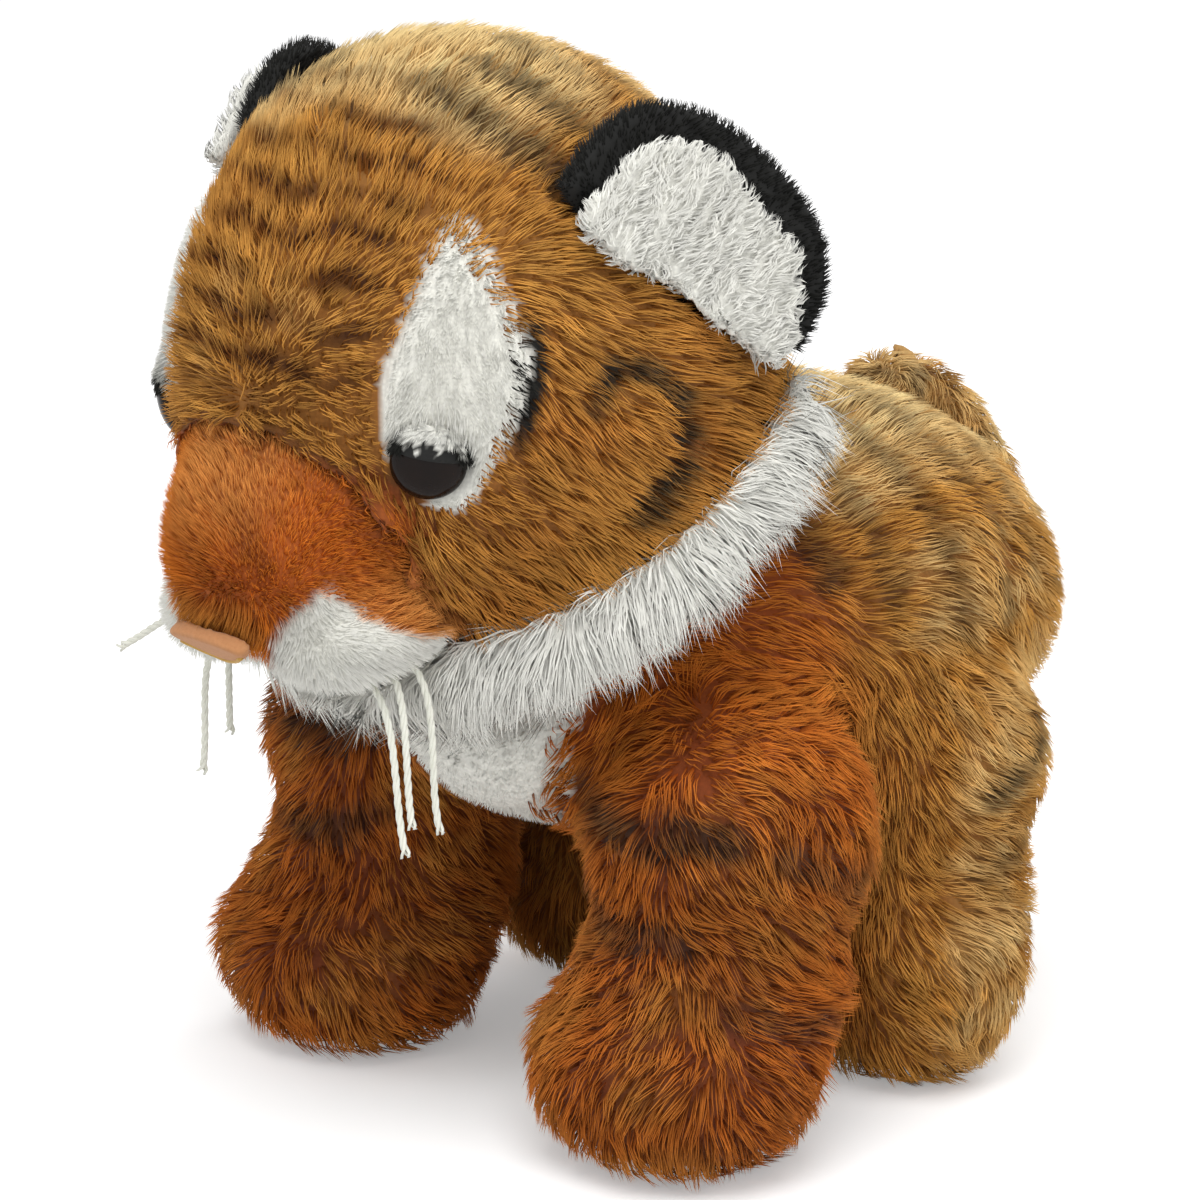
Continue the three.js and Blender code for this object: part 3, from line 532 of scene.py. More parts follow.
def orange_shades(points_mm, h):
    """The orange of the muzzle: deeper in places, paler on top and low at the sides."""
    deeper = np.clip(0.22 + 0.4 * wander(points_mm, 18, 8) + 0.12 * wander(points_mm, 5, 18), 0, 1)
    across = np.abs(h[:, 0])
    above = step(h[:, 2], 34, 50) * (1 - step(across, 8, 22))
    beside = (1 - step(h[:, 2], 20, 34)) * step(across, 13, 24)
    return blend_pairs(blend_pairs(ORANGE, RUST, deeper), LIGHT_ORANGE, 0.6 * np.maximum(above, beside))


def muzzle_colours(points_mm, normals):
    """Orange, with a darker fringe over the nose, and white on the lip."""
    h = to_head(points_mm)
    root, tip = orange_shades(points_mm, h)
    fringe = above_nose(h)
    tones = mix(root, STRIPE[0], fringe * 0.35), mix(tip, TAN[1] * 0.6, fringe * 0.6)
    return blend_pairs(tones, WHITE, 1 - step(lip_gap(h), -0.6, 0.6))


def head_colours(points_mm, normals):
    """Pale on the crown, brown and tan on the face, with rust bands on the forehead and dark stripes. The
    head grows paler towards its top, partly its own pale crown and partly painted light from above.
    """
    h = to_head(points_mm)
    across, y, z = np.abs(h[:, 0]), h[:, 1], h[:, 2]
    # crown and brow: paler higher up the head, partly the crown's own tone and partly painted light from
    # above
    crown = step(z, 66, 96) * step(y, -52, -16)
    behind = step(y, -10, 25) * 0.8
    brow = 0.38 + 0.2 * step(z, 40, 80) + 0.06 * (1 - step(y, -60, -46)) * (1 - step(across, 10, 26))
    share = np.maximum(np.maximum(crown, behind), brow) + 0.1 * wander(points_mm, 22, 3)
    arc = 0.75 * z + 0.65 * y - 0.10 * across
    bands = step(waves(arc + 1.6 * wander(points_mm, 24, 5), 7.6), 0.35, 0.9)
    bands = bands * (1 - step(across, 20, 30)) * step(z, 56, 64) * (1 - step(y, -26, -14))
    bands = bands * np.clip(0.8 + 0.5 * wander(points_mm, 13, 15), 0.3, 1)
    tones = blend_pairs(coat_shades(share), BAND, bands * 0.92)
    tones = blend_pairs(tones, STRIPE, striped(h, to_head(normals + NECK_MM), HEAD_STRIPES, 11))
    gap = seam_gap(h)
    tones = blend_pairs(tones, orange_shades(points_mm, h), 1 - step(gap, -0.8, 0.8))
    return blend_pairs(tones, (BAND[0], RUST[0]), (1 - step(np.abs(gap), 0.3, 2.0)) * 0.55)


def body_colours(points_mm, normals):
    """Rust in front, tan behind, pale along the back, with dark stripes. Upward-facing places on the back are
    paler, partly the coat's own pale back and partly painted light from above.
    """
    x, y, z = points_mm.T
    # up: upward-facing places along the back turn pale, partly the coat's own tone and partly painted light
    # from above
    up = np.clip(normals[:, 2], 0, 1) * step(z, 84, 112) * step(y, -8, 18)
    rear = step(y, -4, 30) * (0.66 + 0.12 * (1 - step(z, 30, 60)))
    share = np.maximum(up, rear) + 0.06 + 0.1 * wander(points_mm, 24, 4) + 0.07 * wander(points_mm, 8, 14)
    shoulder = 0.6 * step(z, 60, 84) * (1 - step(y, -6, 14)) * (1 - step(up, 0.1, 0.6))
    tones = blend_pairs(coat_shades(share), ORANGE, shoulder)
    return blend_pairs(tones, STRIPE, striped(points_mm, normals, BODY_STRIPES, 21))


def tail_colours(points_mm, normals):
    """Tan with soft dark rings."""
    rings = step(waves(points_mm[:, 2] + 3 * wander(points_mm, 12, 6), 15), 0.65, 1.0)
    rings = rings * np.clip(0.3 + 0.3 * wander(points_mm, 7, 16), 0.05, 0.55)
    return blend_pairs(coat_shades(0.82 + 0.12 * wander(points_mm, 18, 9)), STRIPE, rings)


def neck_colours(mm, out):
    """White in front, the coat's tan behind."""
    return blend_pairs(coat_shades(0.75 + 0.1 * wander(mm, 18, 12)), WHITE, 1 - step(mm[:, 1], -22, -16))


# Eye patches, seen the way the left eye looks: middle, half size, and outline in shares of it
PATCH_MIDDLE = (-7.7, 58.4)
PATCH_HALF = (13.5, 22.0)
PATCH_SHARES = [
    (0.6, 1.0), (0.15, 0.92), (-0.45, 0.5), (-0.87, 0.05), (-1.0, -0.35),
    (-0.8, -0.75), (-0.27, -0.97), (0.36, -0.65), (0.95, -0.15), (1.0, 0.35),
]
EYE_MIDDLE = (-14.5, 46.5)


def rounded_outline(shares, half, middle, steps=6):
    """A smooth closed curve through the outline's points."""
    pts = np.array(shares) * np.array(half) + np.array(middle)
    out = []
    for i in range(len(pts)):
        p0, p1, p2, p3 = (pts[(i + k) % len(pts)] for k in (-1, 0, 1, 2))
        for t in np.arange(steps) / steps:
            out.append(0.5 * (2 * p1 + (p2 - p0) * t + (2 * p0 - 5 * p1 + 4 * p2 - p3) * t * t
                              + (3 * p1 - p0 - 3 * p2 + p3) * t ** 3))
    return np.array(out)


PATCH_OUTLINE = rounded_outline(PATCH_SHARES, PATCH_HALF, PATCH_MIDDLE)


def facing_eye(points_mm):
    """Place across and up, seen the way the eye looks, with both sides folded onto the left."""
    h = to_head(points_mm)
    return np.stack([(np.abs(h[:, 0]) + h[:, 1]) * math.sqrt(0.5), h[:, 2]], 1)


def patch_distance(points_mm):
    gap = outline_distance(facing_eye(points_mm), PATCH_OUTLINE)
    return np.where(to_head(points_mm)[:, 1] < PATCH_BACK, gap, FAR_AWAY)


def from_eye(points_mm):
    """How far across and up from the middle of the eye each place is, and how far in all."""
    rel = facing_eye(points_mm) - np.array(EYE_MIDDLE)
    return rel[:, 0], rel[:, 1], np.linalg.norm(rel, axis=1)


def above_eye(points_mm, near_mm, far_mm):
    """Share from 1 beside the upper half of the eye to 0 farther away."""
    across, up, gap = from_eye(points_mm)
    return (1 - step(gap, near_mm, far_mm)) * step(up, 0, 4)


def head_pile_colours(mm, out):
    """Head colours with the black line along the outer edge of each eye patch."""
    across, up = facing_eye(mm).T
    edge = (1 - step(patch_distance(mm), 2.2, 3.6)) * step(across, -2, 3) * (1 - step(up, 62, 68))
    return blend_pairs(head_colours(mm, out), BLACK, edge)


def head_cover_colours(mm, normals):
    return blend_pairs(head_pile_colours(mm, normals), WHITE, (patch_distance(mm) < 0).astype(float))


def patch_colours(mm, out):
    """White, with black fuzz at the inner corner of the eye."""
    across, up, gap = from_eye(mm)
    fuzz = (1 - step(gap + 0.8 * wander(mm, 2, 54), 7.4, 8.8)) * step(-across, 1, 4)
    return blend_pairs(white_colours(mm, out), BLACK, fuzz)


# Ears, in the level head's frame on the left: the ends of the seam, and the middle of the rim
EAR_INNER, EAR_OUTER = np.array([41, -20, 82.4]), np.array([55.5, 11.5, 36.4])
EAR_RIM = np.array([51.6, 17.5, 76])
EAR_MIDDLE = (EAR_INNER + EAR_OUTER) / 2
EAR_ALONG = unit(EAR_OUTER - EAR_INNER)
EAR_UP = unit(EAR_RIM - EAR_MIDDLE - ((EAR_RIM - EAR_MIDDLE) @ EAR_ALONG) * EAR_ALONG)


def ear_place(mm):
    """How far along the ear's seam and how far out from it each place is."""
    h = to_head(mm)
    h[:, 0] = np.abs(h[:, 0])
    return (h - EAR_MIDDLE) @ EAR_ALONG, (h - EAR_MIDDLE) @ EAR_UP


def fleece_ribs(mm):
    """Ribs that run out from the seam, from 0 between them to 1 on them."""
    along, up = ear_place(mm)
    return waves(along * (1 - 0.006 * up) + 0.5 * wander(mm, 9, 33), 2.7)


def fleece_colours(mm, normals):
    """White, a little darker between the ribs of the fleece: painted shade in the grooves between the ribs.
    """
    # painted shade in the grooves between the ribs
    dark = 0.14 * (1 - fleece_ribs(mm))[:, None]
    return WHITE[0] * (1 - dark), WHITE[1] * (1 - dark * 0.7)


# Growing the pile
FIBRE_CORNERS = np.radians([90, 210, 330])


def strand_mesh(name, curve, radius, outward, colours, smooth_normals, rings):
    """Closed three-sided fibres along the curves: rings of three corners and a point at the tip."""
    n, per = len(curve), rings * 3 + 1
    tangent = unit(np.gradient(curve, axis=1))
    side = unit(np.cross(tangent, outward[:, None, :]))
    lift = np.cross(side, tangent)
    verts, normal, shade = (np.empty((n, per, 3)) for _ in range(3))
    for r in range(rings):
        for k, angle in enumerate(FIBRE_CORNERS):
            way = side[:, r] * math.cos(angle) + lift[:, r] * math.sin(angle)
            verts[:, r * 3 + k] = curve[:, r] + way * radius[:, r, None]
            normal[:, r * 3 + k] = way * (1 - smooth_normals) + outward * smooth_normals
            shade[:, r * 3 + k] = colours[:, r]
    verts[:, -1] = curve[:, rings]
    normal[:, -1] = lift[:, rings - 1] * (1 - smooth_normals) + outward * smooth_normals
    shade[:, -1] = colours[:, rings]
    # faces of one fibre, and their places in its own cell of the texture
    faces = [(0, 1, 2)]
    places = [((0.05, 0.0), (0.5, 0.06), (0.95, 0.0))]
    for r in range(rings):
        low_t, high_t = r / rings, (r + 1) / rings
        for k in range(3):
            a, b = r * 3 + k, r * 3 + (k + 1) % 3
            u0, u1 = k / 3, (k + 1) / 3
            if r < rings - 1:
                faces += [(a, b + 3, b), (a, a + 3, b + 3)]
                places.append(((u0, low_t), (u1, high_t), (u1, low_t)))
                places.append(((u0, low_t), (u0, high_t), (u1, high_t)))
            else:
                faces.append((a, per - 1, b))
                places.append(((u0, low_t), ((u0 + u1) / 2, 1.0), (u1, low_t)))
    index = (np.arange(n)[:, None, None] * per + np.array(faces)[None]).reshape(-1, 3)
    mesh = bpy.data.meshes.new(name)
    mesh.vertices.add(n * per)
    mesh.vertices.foreach_set("co", verts.reshape(-1).astype(np.float32))
    mesh.loops.add(len(index) * 3)
    mesh.loops.foreach_set("vertex_index", index.reshape(-1).astype(np.int32))
    mesh.polygons.add(len(index))
    mesh.polygons.foreach_set("loop_start", (np.arange(len(index)) * 3).astype(np.int32))
    mesh.update(calc_edges=True)
    mesh.polygons.foreach_set("use_smooth", np.ones(len(index), bool))
    grid = int(math.ceil(math.sqrt(n)))
    cell = np.stack([np.arange(n) % grid, np.arange(n) // grid], 1)
    uv = (cell[:, None, None, :] + 0.12 + 0.76 * np.array(places)[None]) / grid
    mesh.uv_layers.new(name="OFBake").data.foreach_set("uv", uv.reshape(-1).astype(np.float32))
    ob = link(bpy.data.objects.new(name, mesh))
    colour_points(ob, shade.reshape(-1, 3))
    mesh.normals_split_custom_set_from_vertices(unit(normal).reshape(-1, 3).tolist())
    return ob


def combed(mm, out, flow):
    """The combing direction at each place, in the surface."""
    way = flow(mm, out)
    return unit(way - np.sum(way * out, 1)[:, None] * out)


SHOWN_SHARE = 0.6


def visible_place(mm, out, flow, style):
    """Where the fibre rooted at each place shows: above its root and some way along its combing."""
    along = style["drift"] * style["length"] * SHOWN_SHARE
    return mm + out * style["depth"] + combed(mm, out, flow) * along


FACING_DOWN = -0.6
KEEP_MARGIN = 8.0
SORT_CELL = 6
RISE_POWER, DRIFT_POWER, PULL_POWER = 1.7, 1.5, 1.3
GROUND_GAP, GROUND_SPREAD = 0.3, 0.4
WIDTH_SPREAD = (0.75, 1.25)
TIP_TAPER = 0.6


def scattered(base, count, rng, style, flow, keep, others):
    """Roots of about count fibres on the free surface: place, outward direction, share of the depth."""
    co, no, tri = corners(base), vertex_normals(base), triangles(base)
    a, b, c = co[tri[:, 0]], co[tri[:, 1]], co[tri[:, 2]]
    cross = np.cross(b - a, c - a)
    area = np.linalg.norm(cross, axis=1) / 2
    middle, facing = (a + b + c) / 3, cross / np.maximum(2 * area[:, None], 1e-12)
    weight = area * np.where(facing[:, 2] < FACING_DOWN, style["under"], 1.0)
    for tree, reach_mm in others:
        weight[covered(middle, facing, tree, reach_mm)] = 0
    if keep is not None:
        weight *= keep(middle / MM, facing, KEEP_MARGIN)
    pick = rng.choice(len(tri), count, p=weight / weight.sum())
    r1, r2 = np.sqrt(rng.random(count)), rng.random(count)
    w = np.stack([1 - r1, r1 * (1 - r2), r1 * r2], 1)
    root = np.einsum("nk,nkj->nj", w, co[tri[pick]])
    out = unit(np.einsum("nk,nkj->nj", w, no[tri[pick]]))
    deep = np.einsum("nk,nk->n", w, cover_depth[base.name][tri[pick]]) / style["depth"]
    if keep is not None:
        good = keep(visible_place(root / MM, out, flow, style), out, 0.0) > 0.5
        root, out, deep = root[good], out[good], deep[good]
    order = np.lexsort(np.round(root / MM / SORT_CELL).T)
    return root[order], out[order], deep[order]


def grow(name, base, count, seed, style, colours, flow, keep, others, material=None, trim=None):
    """Grows a pile of about count fibres on the free surface of a base."""
    rng = np.random.default_rng(seed)
    root, out, deep = scattered(base, count, rng, style, flow, keep, others)
    mm, n = root / MM, len(root)

    # combing direction in the surface, turned a little by slow noise
    way = combed(mm, out, flow)
    swirl = style["swirl"] * wander(mm, style["swirl_mm"], seed + 1) + rng.normal(0, style["stray"], n)
    way = way * np.cos(swirl)[:, None] + np.cross(out, way) * np.sin(swirl)[:, None]

    # locks: each fibre leans towards its nearest lock's own line
    size = max(1, int(n / style["lock"]))
    chosen = rng.choice(n, size, replace=False)
    tree = KDTree(size)
    for i, k in enumerate(chosen):
        tree.insert(root[k], i)
    tree.balance()
    lock = np.array([tree.find(p)[1] for p in root])
    lock_way = way[chosen] + rng.normal(0, style["lock_stray"], (size, 3))
    lock_tall = 1 + rng.normal(0, style["lock_tall"], size)
    lock_tint = 1 + rng.normal(0, style["lock_tint"], size)
    tall = 1 + style["wave"] * wander(mm, 16, seed + 2) + rng.normal(0, style["uneven"], n)
    tall = np.clip(tall, 0.6, 1.3) * style["length"] * np.clip(deep, 0.6, 1.0)
    if trim is not None:
        tall *= trim(visible_place(mm, out, flow, style))

    # each fibre rises from its root and then lies over, with a slight curl, and stays off the ground
    rings = style["rings"]
    t = np.linspace(0, 1, rings + 1)
    up = style["rise"] * (1 - (1 - t) ** RISE_POWER)
    over = style["drift"] * t ** DRIFT_POWER

    def bent(roots, outs, ways, talls):
        shape = outs[:, None] * up[None, :, None] + ways[:, None] * over[None, :, None]
        return roots[:, None] + shape * talls[:, None, None] * MM

    curve = bent(root, out, way, tall)
    lead = bent(root[chosen][lock], out[chosen][lock], lock_way[lock], (tall[chosen] * lock_tall)[lock])
    pull = style["pull"] * t[None, :, None] ** PULL_POWER * rng.uniform(0.55, 1.0, n)[:, None, None]
    curve = curve + (lead - curve) * pull
    phase = rng.uniform(0, 6.28, size)[lock][:, None] + rng.normal(0, 0.5, n)[:, None]
    coil = (phase + t[None] * style["turns"] * 2 * math.pi)[..., None]
    curve += ((np.cross(out, way)[:, None] * np.sin(coil) + out[:, None] * np.cos(coil))
              * (style["curl"] * MM * t[None, :, None]))
    lowest = GROUND_GAP * MM + rng.random(n)[:, None] * GROUND_SPREAD * MM
    curve[..., 2] = np.maximum(curve[..., 2], lowest)

    width = style["width"] * MM * rng.uniform(*WIDTH_SPREAD, n)
    radius = width[:, None] / 2 * (1 - TIP_TAPER * t[None, :-1] ** 1.5)
    tint = np.clip(lock_tint[lock] * (1 + rng.normal(0, style["tint"], n)), 0.6, 1.35)
    # each fibre runs from its root colour to its tip colour; the darker roots are painted shade deep in the
    # pile
    shade = np.empty((n, rings + 1, 3))
    for r in range(rings + 1):
        low_colour, high_colour = colours(curve[:, r] / MM + out * (style["depth"] * (1 - t[r])), out)
        shade[:, r] = (low_colour + (high_colour - low_colour) * t[r] ** style["tip_power"]) * tint[:, None]
    ob = strand_mesh(name, curve, radius, out, np.clip(shade, 0, 1), style["even"], rings)
    ob.data.materials.append(material or long_pile)
    return ob


# Kinds of pile. In mm are its depth over the cover, the length, width and curl of a fibre, and swirl_mm.
# Rise and drift are shares of the length, lock counts a lock's fibres, the rest are shares and spreads.
LONG = dict(depth=2.2, length=6.8, rise=0.48, drift=0.78, width=0.3, rings=2, lock=11, lock_stray=0.2,
            lock_tall=0.06, lock_tint=0.11, uneven=0.07, wave=0.07, pull=0.42, swirl=0.5, swirl_mm=34,
            stray=0.13, curl=0.25, turns=0.6, tint=0.08, tip_power=0.8, even=0.55, under=0.5)
LEG = dict(LONG, lock_tint=0.13, swirl=0.6, swirl_mm=26, pull=0.5, lock=12, lock_stray=0.26, lock_tall=0.08,
           width=0.31, rise=0.46, drift=0.8, tip_power=1.3)
HEAD = dict(LONG, depth=3.8, rise=0.55, swirl=0.28, lock=12, lock_stray=0.18)
SHORT = dict(LONG, depth=3.0, length=4.2, rise=0.66, drift=0.55, width=0.29, lock=9, pull=0.35, swirl=0.45,
             swirl_mm=24, curl=0.12, tint=0.06, lock_tint=0.08, uneven=0.08, wave=0.06)
VELVET = dict(SHORT, rings=1, depth=2.0, length=2.1, rise=0.85, drift=0.36, width=0.3, lock=8,
              lock_tint=0.012, tint=0.012, lock_tall=0.03, uneven=0.04, wave=0.03, even=0.88)
MUZZLE = dict(SHORT, rings=1, depth=2.4, length=3.6, width=0.26, stray=0.35, lock=7, rise=0.7)
LIP = dict(VELVET, depth=2.4, length=2.9, rise=0.78, drift=0.5)
EAR_BACK = dict(SHORT, rings=1, depth=1.6, length=2.4, even=0.8)
LID = dict(SHORT, rings=1, depth=1.0, length=1.8, rise=0.35, drift=0.85, width=0.22,
           lock_tint=0.02, tint=0.02, even=0.85)
RUFF = dict(LONG, depth=3.0, length=12.0, rise=0.4, drift=0.9, lock=10, pull=0.4, swirl=0.4, swirl_mm=14,
            stray=0.2, lock_stray=0.16, lock_tall=0.14, uneven=0.14, lock_tint=0.01, tint=0.01, width=0.34,
            even=0.97)
FLEECE = dict(LONG, depth=1.6, length=3.2, rise=0.55, drift=0.6, width=0.32, lock=10, pull=0.55, swirl_mm=7,
              curl=0.35, turns=1.0, lock_tall=0.08, lock_stray=0.3, lock_tint=0.02, tint=0.02, even=0.85)
TAIL = dict(LONG, depth=2.5, length=5.5)
TAIL_ROOT = dict(LONG, depth=0.3, length=6.5)
NECK = dict(LONG, depth=0.3, length=7.0)


# Combing directions
def head_flow(mm, out):
    """Away from the brow, back over the crown, and down beside the muzzle."""
    h = to_head(mm)
    across, y, z = np.abs(h[:, 0]), h[:, 1], h[:, 2]
    away = h - np.array([0, -66, 58])
    away[:, 2] -= step(across, 24, 46) * (45 - 30 * step(z, 55, 85))
    way = unit(away) + np.array([0, 1.0, -0.3]) * step(y, -30, 30)[:, None]
    beside_muzzle = (1 - step(seam_gap(h), -1, 3)) * (z < 50) * step(across, 8, 16)
    return from_head(mix(way, np.array([0.0, 0.3, -0.9]), beside_muzzle * 0.85))


def patch_flow(mm, out):
    """Down onto the lid above the eye, and mostly down elsewhere."""
    return mix(head_flow(mm, out), np.array([0.0, -0.3, -1.0]), np.maximum(above_eye(mm, 9, 15), 0.75))


def muzzle_flow(mm, out):
    """Away from the nose, and down over it from above."""
    h = to_head(mm)
    away = unit(h - np.array([0, -88, 26])) + np.array([0, 0.6, 0.1])
    return from_head(mix(away, np.array([0, -0.4, -1.0]), above_nose(h)))


def pad_flow(mm, out):
    return from_head(unit(to_head(mm) - np.array([0, -84, 26])) + np.array([0, 0.2, -0.6]))


def torso_flow(mm, out):
    way = np.tile([0.0, 0.85, -0.35], (len(mm), 1))
    way[:, 0] += np.sign(mm[:, 0]) * 0.15
    way[:, 2] -= step(np.abs(mm[:, 0]), 20, 50) * 0.35
    return way


def chest_flow(mm, out):
    return tail_flow(mm, out) + np.sign(mm[:, :1]) * np.array([0.25, 0, 0])


def leg_flow(centre_x, centre_y):
    def flow(mm, out):
        side = np.sign(mm[:, 0])
        outward = np.stack([(np.abs(mm[:, 0]) - centre_x) * side, mm[:, 1] - centre_y, 0 * side], 1)
        way = unit(outward) * 0.4 + np.array([0, 0.55, -0.6])
        way[:, 2] -= 0.5 * (1 - step(mm[:, 2], 8, 40))
        return way
    return flow


def tail_flow(mm, out):
    return np.tile([0.0, 0.1, -1.0], (len(mm), 1))


def neck_ring_flow(mm, out):
    """Out from the neck and back along it."""
    rel = mm - NECK_MM
    return unit(rel - (rel @ NECK_AXIS)[:, None] * NECK_AXIS) * 0.6 - NECK_AXIS * 0.9


def ruff_flow(mm, out):
    """Out and down behind the cheeks, straight down onto the chest under the chin."""
    return mix(neck_ring_flow(mm, out), np.array([0.0, 0.05, -1.0]), 1 - step(to_head(mm)[:, 1], -36, -8))


def ear_flow(mm, out):
    """Out from the seam to the rim, fanning a little."""
    along, up = ear_place(mm)
    way = EAR_UP + np.clip(along / 40, -0.7, 0.7)[:, None] * EAR_ALONG
    way[:, 0] *= np.sign(mm[:, 0])
    return from_head(way)


# Where each pile stands: 1 at places that it keeps, with room for a margin in mm
def beyond(measure):
    """Keeps the places where the measure is above zero."""
    return lambda mm, out, margin: (measure(mm) > -margin).astype(float)


def side_keep(sign):
    return beyond(lambda mm: mm[:, 0] * sign)


def both(*keeps):
    return lambda mm, out, margin: math.prod(keep(mm, out, margin) for keep in keeps)


PANEL_BACK, CHEST_BACK, CHEST_TOP, BELLY_HEIGHT = 57.337, -8.663, 112, 60


def panel_half(mm):
    """Half the width of the white panel: a strip under the belly that widens up the chest."""
    z = mm[:, 2]
    return 13 + 10 * step(z, 54, 69) + 6 * np.clip((z - 72) / 24, 0, 1) + 0.8 * wander(mm, 10, 61)


def in_panel(mm, out, margin):
    x, y, z = np.abs(mm[:, 0]), mm[:, 1], mm[:, 2]
    chest = (z > BELLY_HEIGHT) & (z < CHEST_TOP + margin) & (y < CHEST_BACK + margin)
    belly = (z <= BELLY_HEIGHT) & (y < PANEL_BACK + margin)
    return ((x < panel_half(mm) + margin) & (chest | belly)).astype(float)


def off_panel(mm, out, margin):
    return 1.0 - in_panel(mm, out, -margin)


LEGS = [(which, label) for which in ("front", "hind") for label in SIDES]
LEG_SKINS = [f"{which}_leg_skin_{label}" for which, label in LEGS]
LEG_FILLINGS = [f"{which}_leg_stuffing_{label}" for which, label in LEGS]
skin_trees = {name: solid_tree(name) for name in ["torso_skin"] + LEG_SKINS}
skin_trees["ruff"] = solid_tree("ruff_left", "ruff_right")
SEAM_REACH, LEG_INSIDE, LEGS_PARTED = 6.0, 8, 7


def gap_to(name, mm):
    return np.array([skin_trees[name].find_nearest(Vector(p))[3] for p in mm * MM]) / MM


def on_leg(which, label):
    """Keeps the places that belong to a leg, with a band of the torso round its seam."""
    sign = SIDES[label]

    def keep(mm, out, margin):
        near = mm[:, 1] < LEGS_PARTED + margin if which == "front" else mm[:, 1] > LEGS_PARTED - margin
        near = near & (mm[:, 0] * sign > LEG_INSIDE - margin)
        index = np.flatnonzero(near)
        nearer = gap_to(f"{which}_leg_skin_{label}", mm[index]) - gap_to("torso_skin", mm[index])
        near[index] = nearer < SEAM_REACH + margin
        return near.astype(float)
    return keep


def off_legs(mm, out, margin):
    return math.prod(1 - on_leg(which, label)(mm, out, -margin) for which, label in LEGS)


HEAD_EYE_HOLE, PATCH_EYE_HOLE = 6.8, 6.6


def off_patch(mm, out, margin):
    off_eye = (from_eye(mm)[2] > HEAD_EYE_HOLE - margin) | (to_head(mm)[:, 1] > PATCH_BACK)
    return ((patch_distance(mm) > -margin) & off_eye).astype(float)


def on_patch(mm, out, margin):
    return ((patch_distance(mm) < margin) & (from_eye(mm)[2] > PATCH_EYE_HOLE - margin)).astype(float)


FACE_BACK, NECK_REACH = -18, 14
front_part = beyond(lambda mm: FACE_BACK - to_head(mm)[:, 1])
rear_part = beyond(lambda mm: to_head(mm)[:, 1] - FACE_BACK)
off_lip = beyond(lambda mm: lip_gap(to_head(mm)))
on_lip = beyond(lambda mm: -lip_gap(to_head(mm)))
near_neck_joint = beyond(lambda mm: NECK_REACH - np.abs((mm - NECK_MM) @ NECK_AXIS))


# How long each pile is, as a share of its kind's length
def over_ruff(mm):
    """The head's pile is longer where it lies over the edge of the ruff."""
    return 1 + 0.5 * (1 - step(gap_to("ruff", mm), 2, 7))


def face_trim(mm):
    """The pile is clipped shorter round the eye patches and in front of the muzzle seam."""
    clipped = 1 - 0.42 * (1 - step(patch_distance(mm), 1, 9))
    return clipped * (1 - 0.2 * (1 - step(seam_gap(to_head(mm)), -2, 1))) * over_ruff(mm)


def patch_trim(mm):
    """Longer over the lid, shorter along the patch's edge."""
    return np.maximum(1 + 0.9 * above_eye(mm, 7.5, 11) - 0.4 * step(patch_distance(mm), -3.5, -0.5), 0.6)


def muzzle_trim(mm):
    """The pile is longer over the nose and where the muzzle meets the head."""
    h = to_head(mm)
    return 1 + 0.5 * above_nose(h) + 0.7 * step(h[:, 1], -68, -58)


def ruff_trim(mm):
    """The ruff is a little shorter under the chin."""
    return 0.95 + 0.05 * step(to_head(mm)[:, 1], -42, -10)


# Covers, and what is done with each piece
covers = {}


def cover(name, node_names, voxel_mm, smooths, depth_mm, also=(), bridge=0):
    """The cloth of a sewn piece, drawn in by the depth of the pile that will stand on it."""
    form = rounded(joined(name, *node_names), voxel_mm, smooths)
    if bridge:
        bridged(form, bridge)
    covers[name] = smooth_shaded(sunk(form, depth_mm, rest_of(*node_names, *also)))


def settle(ob, body, replaced):
    """Says which body a piece rides on, which CAD solids it replaces."""
    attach(ob, body)
    if replaced:
        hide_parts(*replaced)


PILE_ROOM, BEAD_ROOM = 0.8, 2.5


def around(own):
    """Search trees over every other cover, and over eyes and nose, with the room the pile leaves them."""
    return ((search_tree([ob for name, ob in covers.items() if name != own]), PILE_ROOM),
            (search_tree([nodes["eye_left"], nodes["eye_right"], nose]), BEAD_ROOM))


def pile(name, base, count, seed, style, colours, flow, body, material=None, keep=None, trim=None,
         replaced=()):
    """Grows one pile on a cover and seats it."""
    ob = grow(name, covers[base], count, seed, style, colours, flow, keep, around(base), material, trim)
    settle(ob, body, replaced)


def cloth(ob, wall_mm, colours, tip_share):
    """Gives a cover its thickness and its cloth, in the colour of the pile with this share of the tips. The
    cloth's darkness is the roots' painted shade.
    """
    hollowed(ob, wall_mm)
    low_colour, high_colour = colours(corners(ob) / MM, vertex_normals(ob))
    colour_points(ob, low_colour * (1 - tip_share) + high_colour * tip_share)
    ob.data.materials.append(backing)
    return smooth_shaded(ob)


def finish_cover(name, body, colours, replaced, wall_mm=1.0):
    """Gives a cover its thickness and cloth, and sets it on its body in place of the solids it replaces."""
    settle(cloth(covers[name], wall_mm, colours, 0.25), body, replaced)


FILLING_VOXEL, FILLING_SMOOTHS = 3.0, 6


def fill(name, body, inset_mm=0.4):
    """Fibre filling inside a cover, in place of the stuffing of the same name."""
    node = name.replace("filling", "stuffing")
    ob = rounded(joined(name, node), FILLING_VOXEL, FILLING_SMOOTHS)
    set_corners(ob, corners(ob) - vertex_normals(ob) * inset_mm * MM)
    ob.data.materials.append(filling)
    settle(smooth_shaded(ob), body, (node,))


LEG_MIDDLES = {"front": (44, -24), "hind": (40, 31)}
LEG_FIBRES = {"front": 17000, "hind": 15000}


def blend_leg(ob):
    """Bakes a leg piece's placement into its mesh."""
    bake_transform(ob)


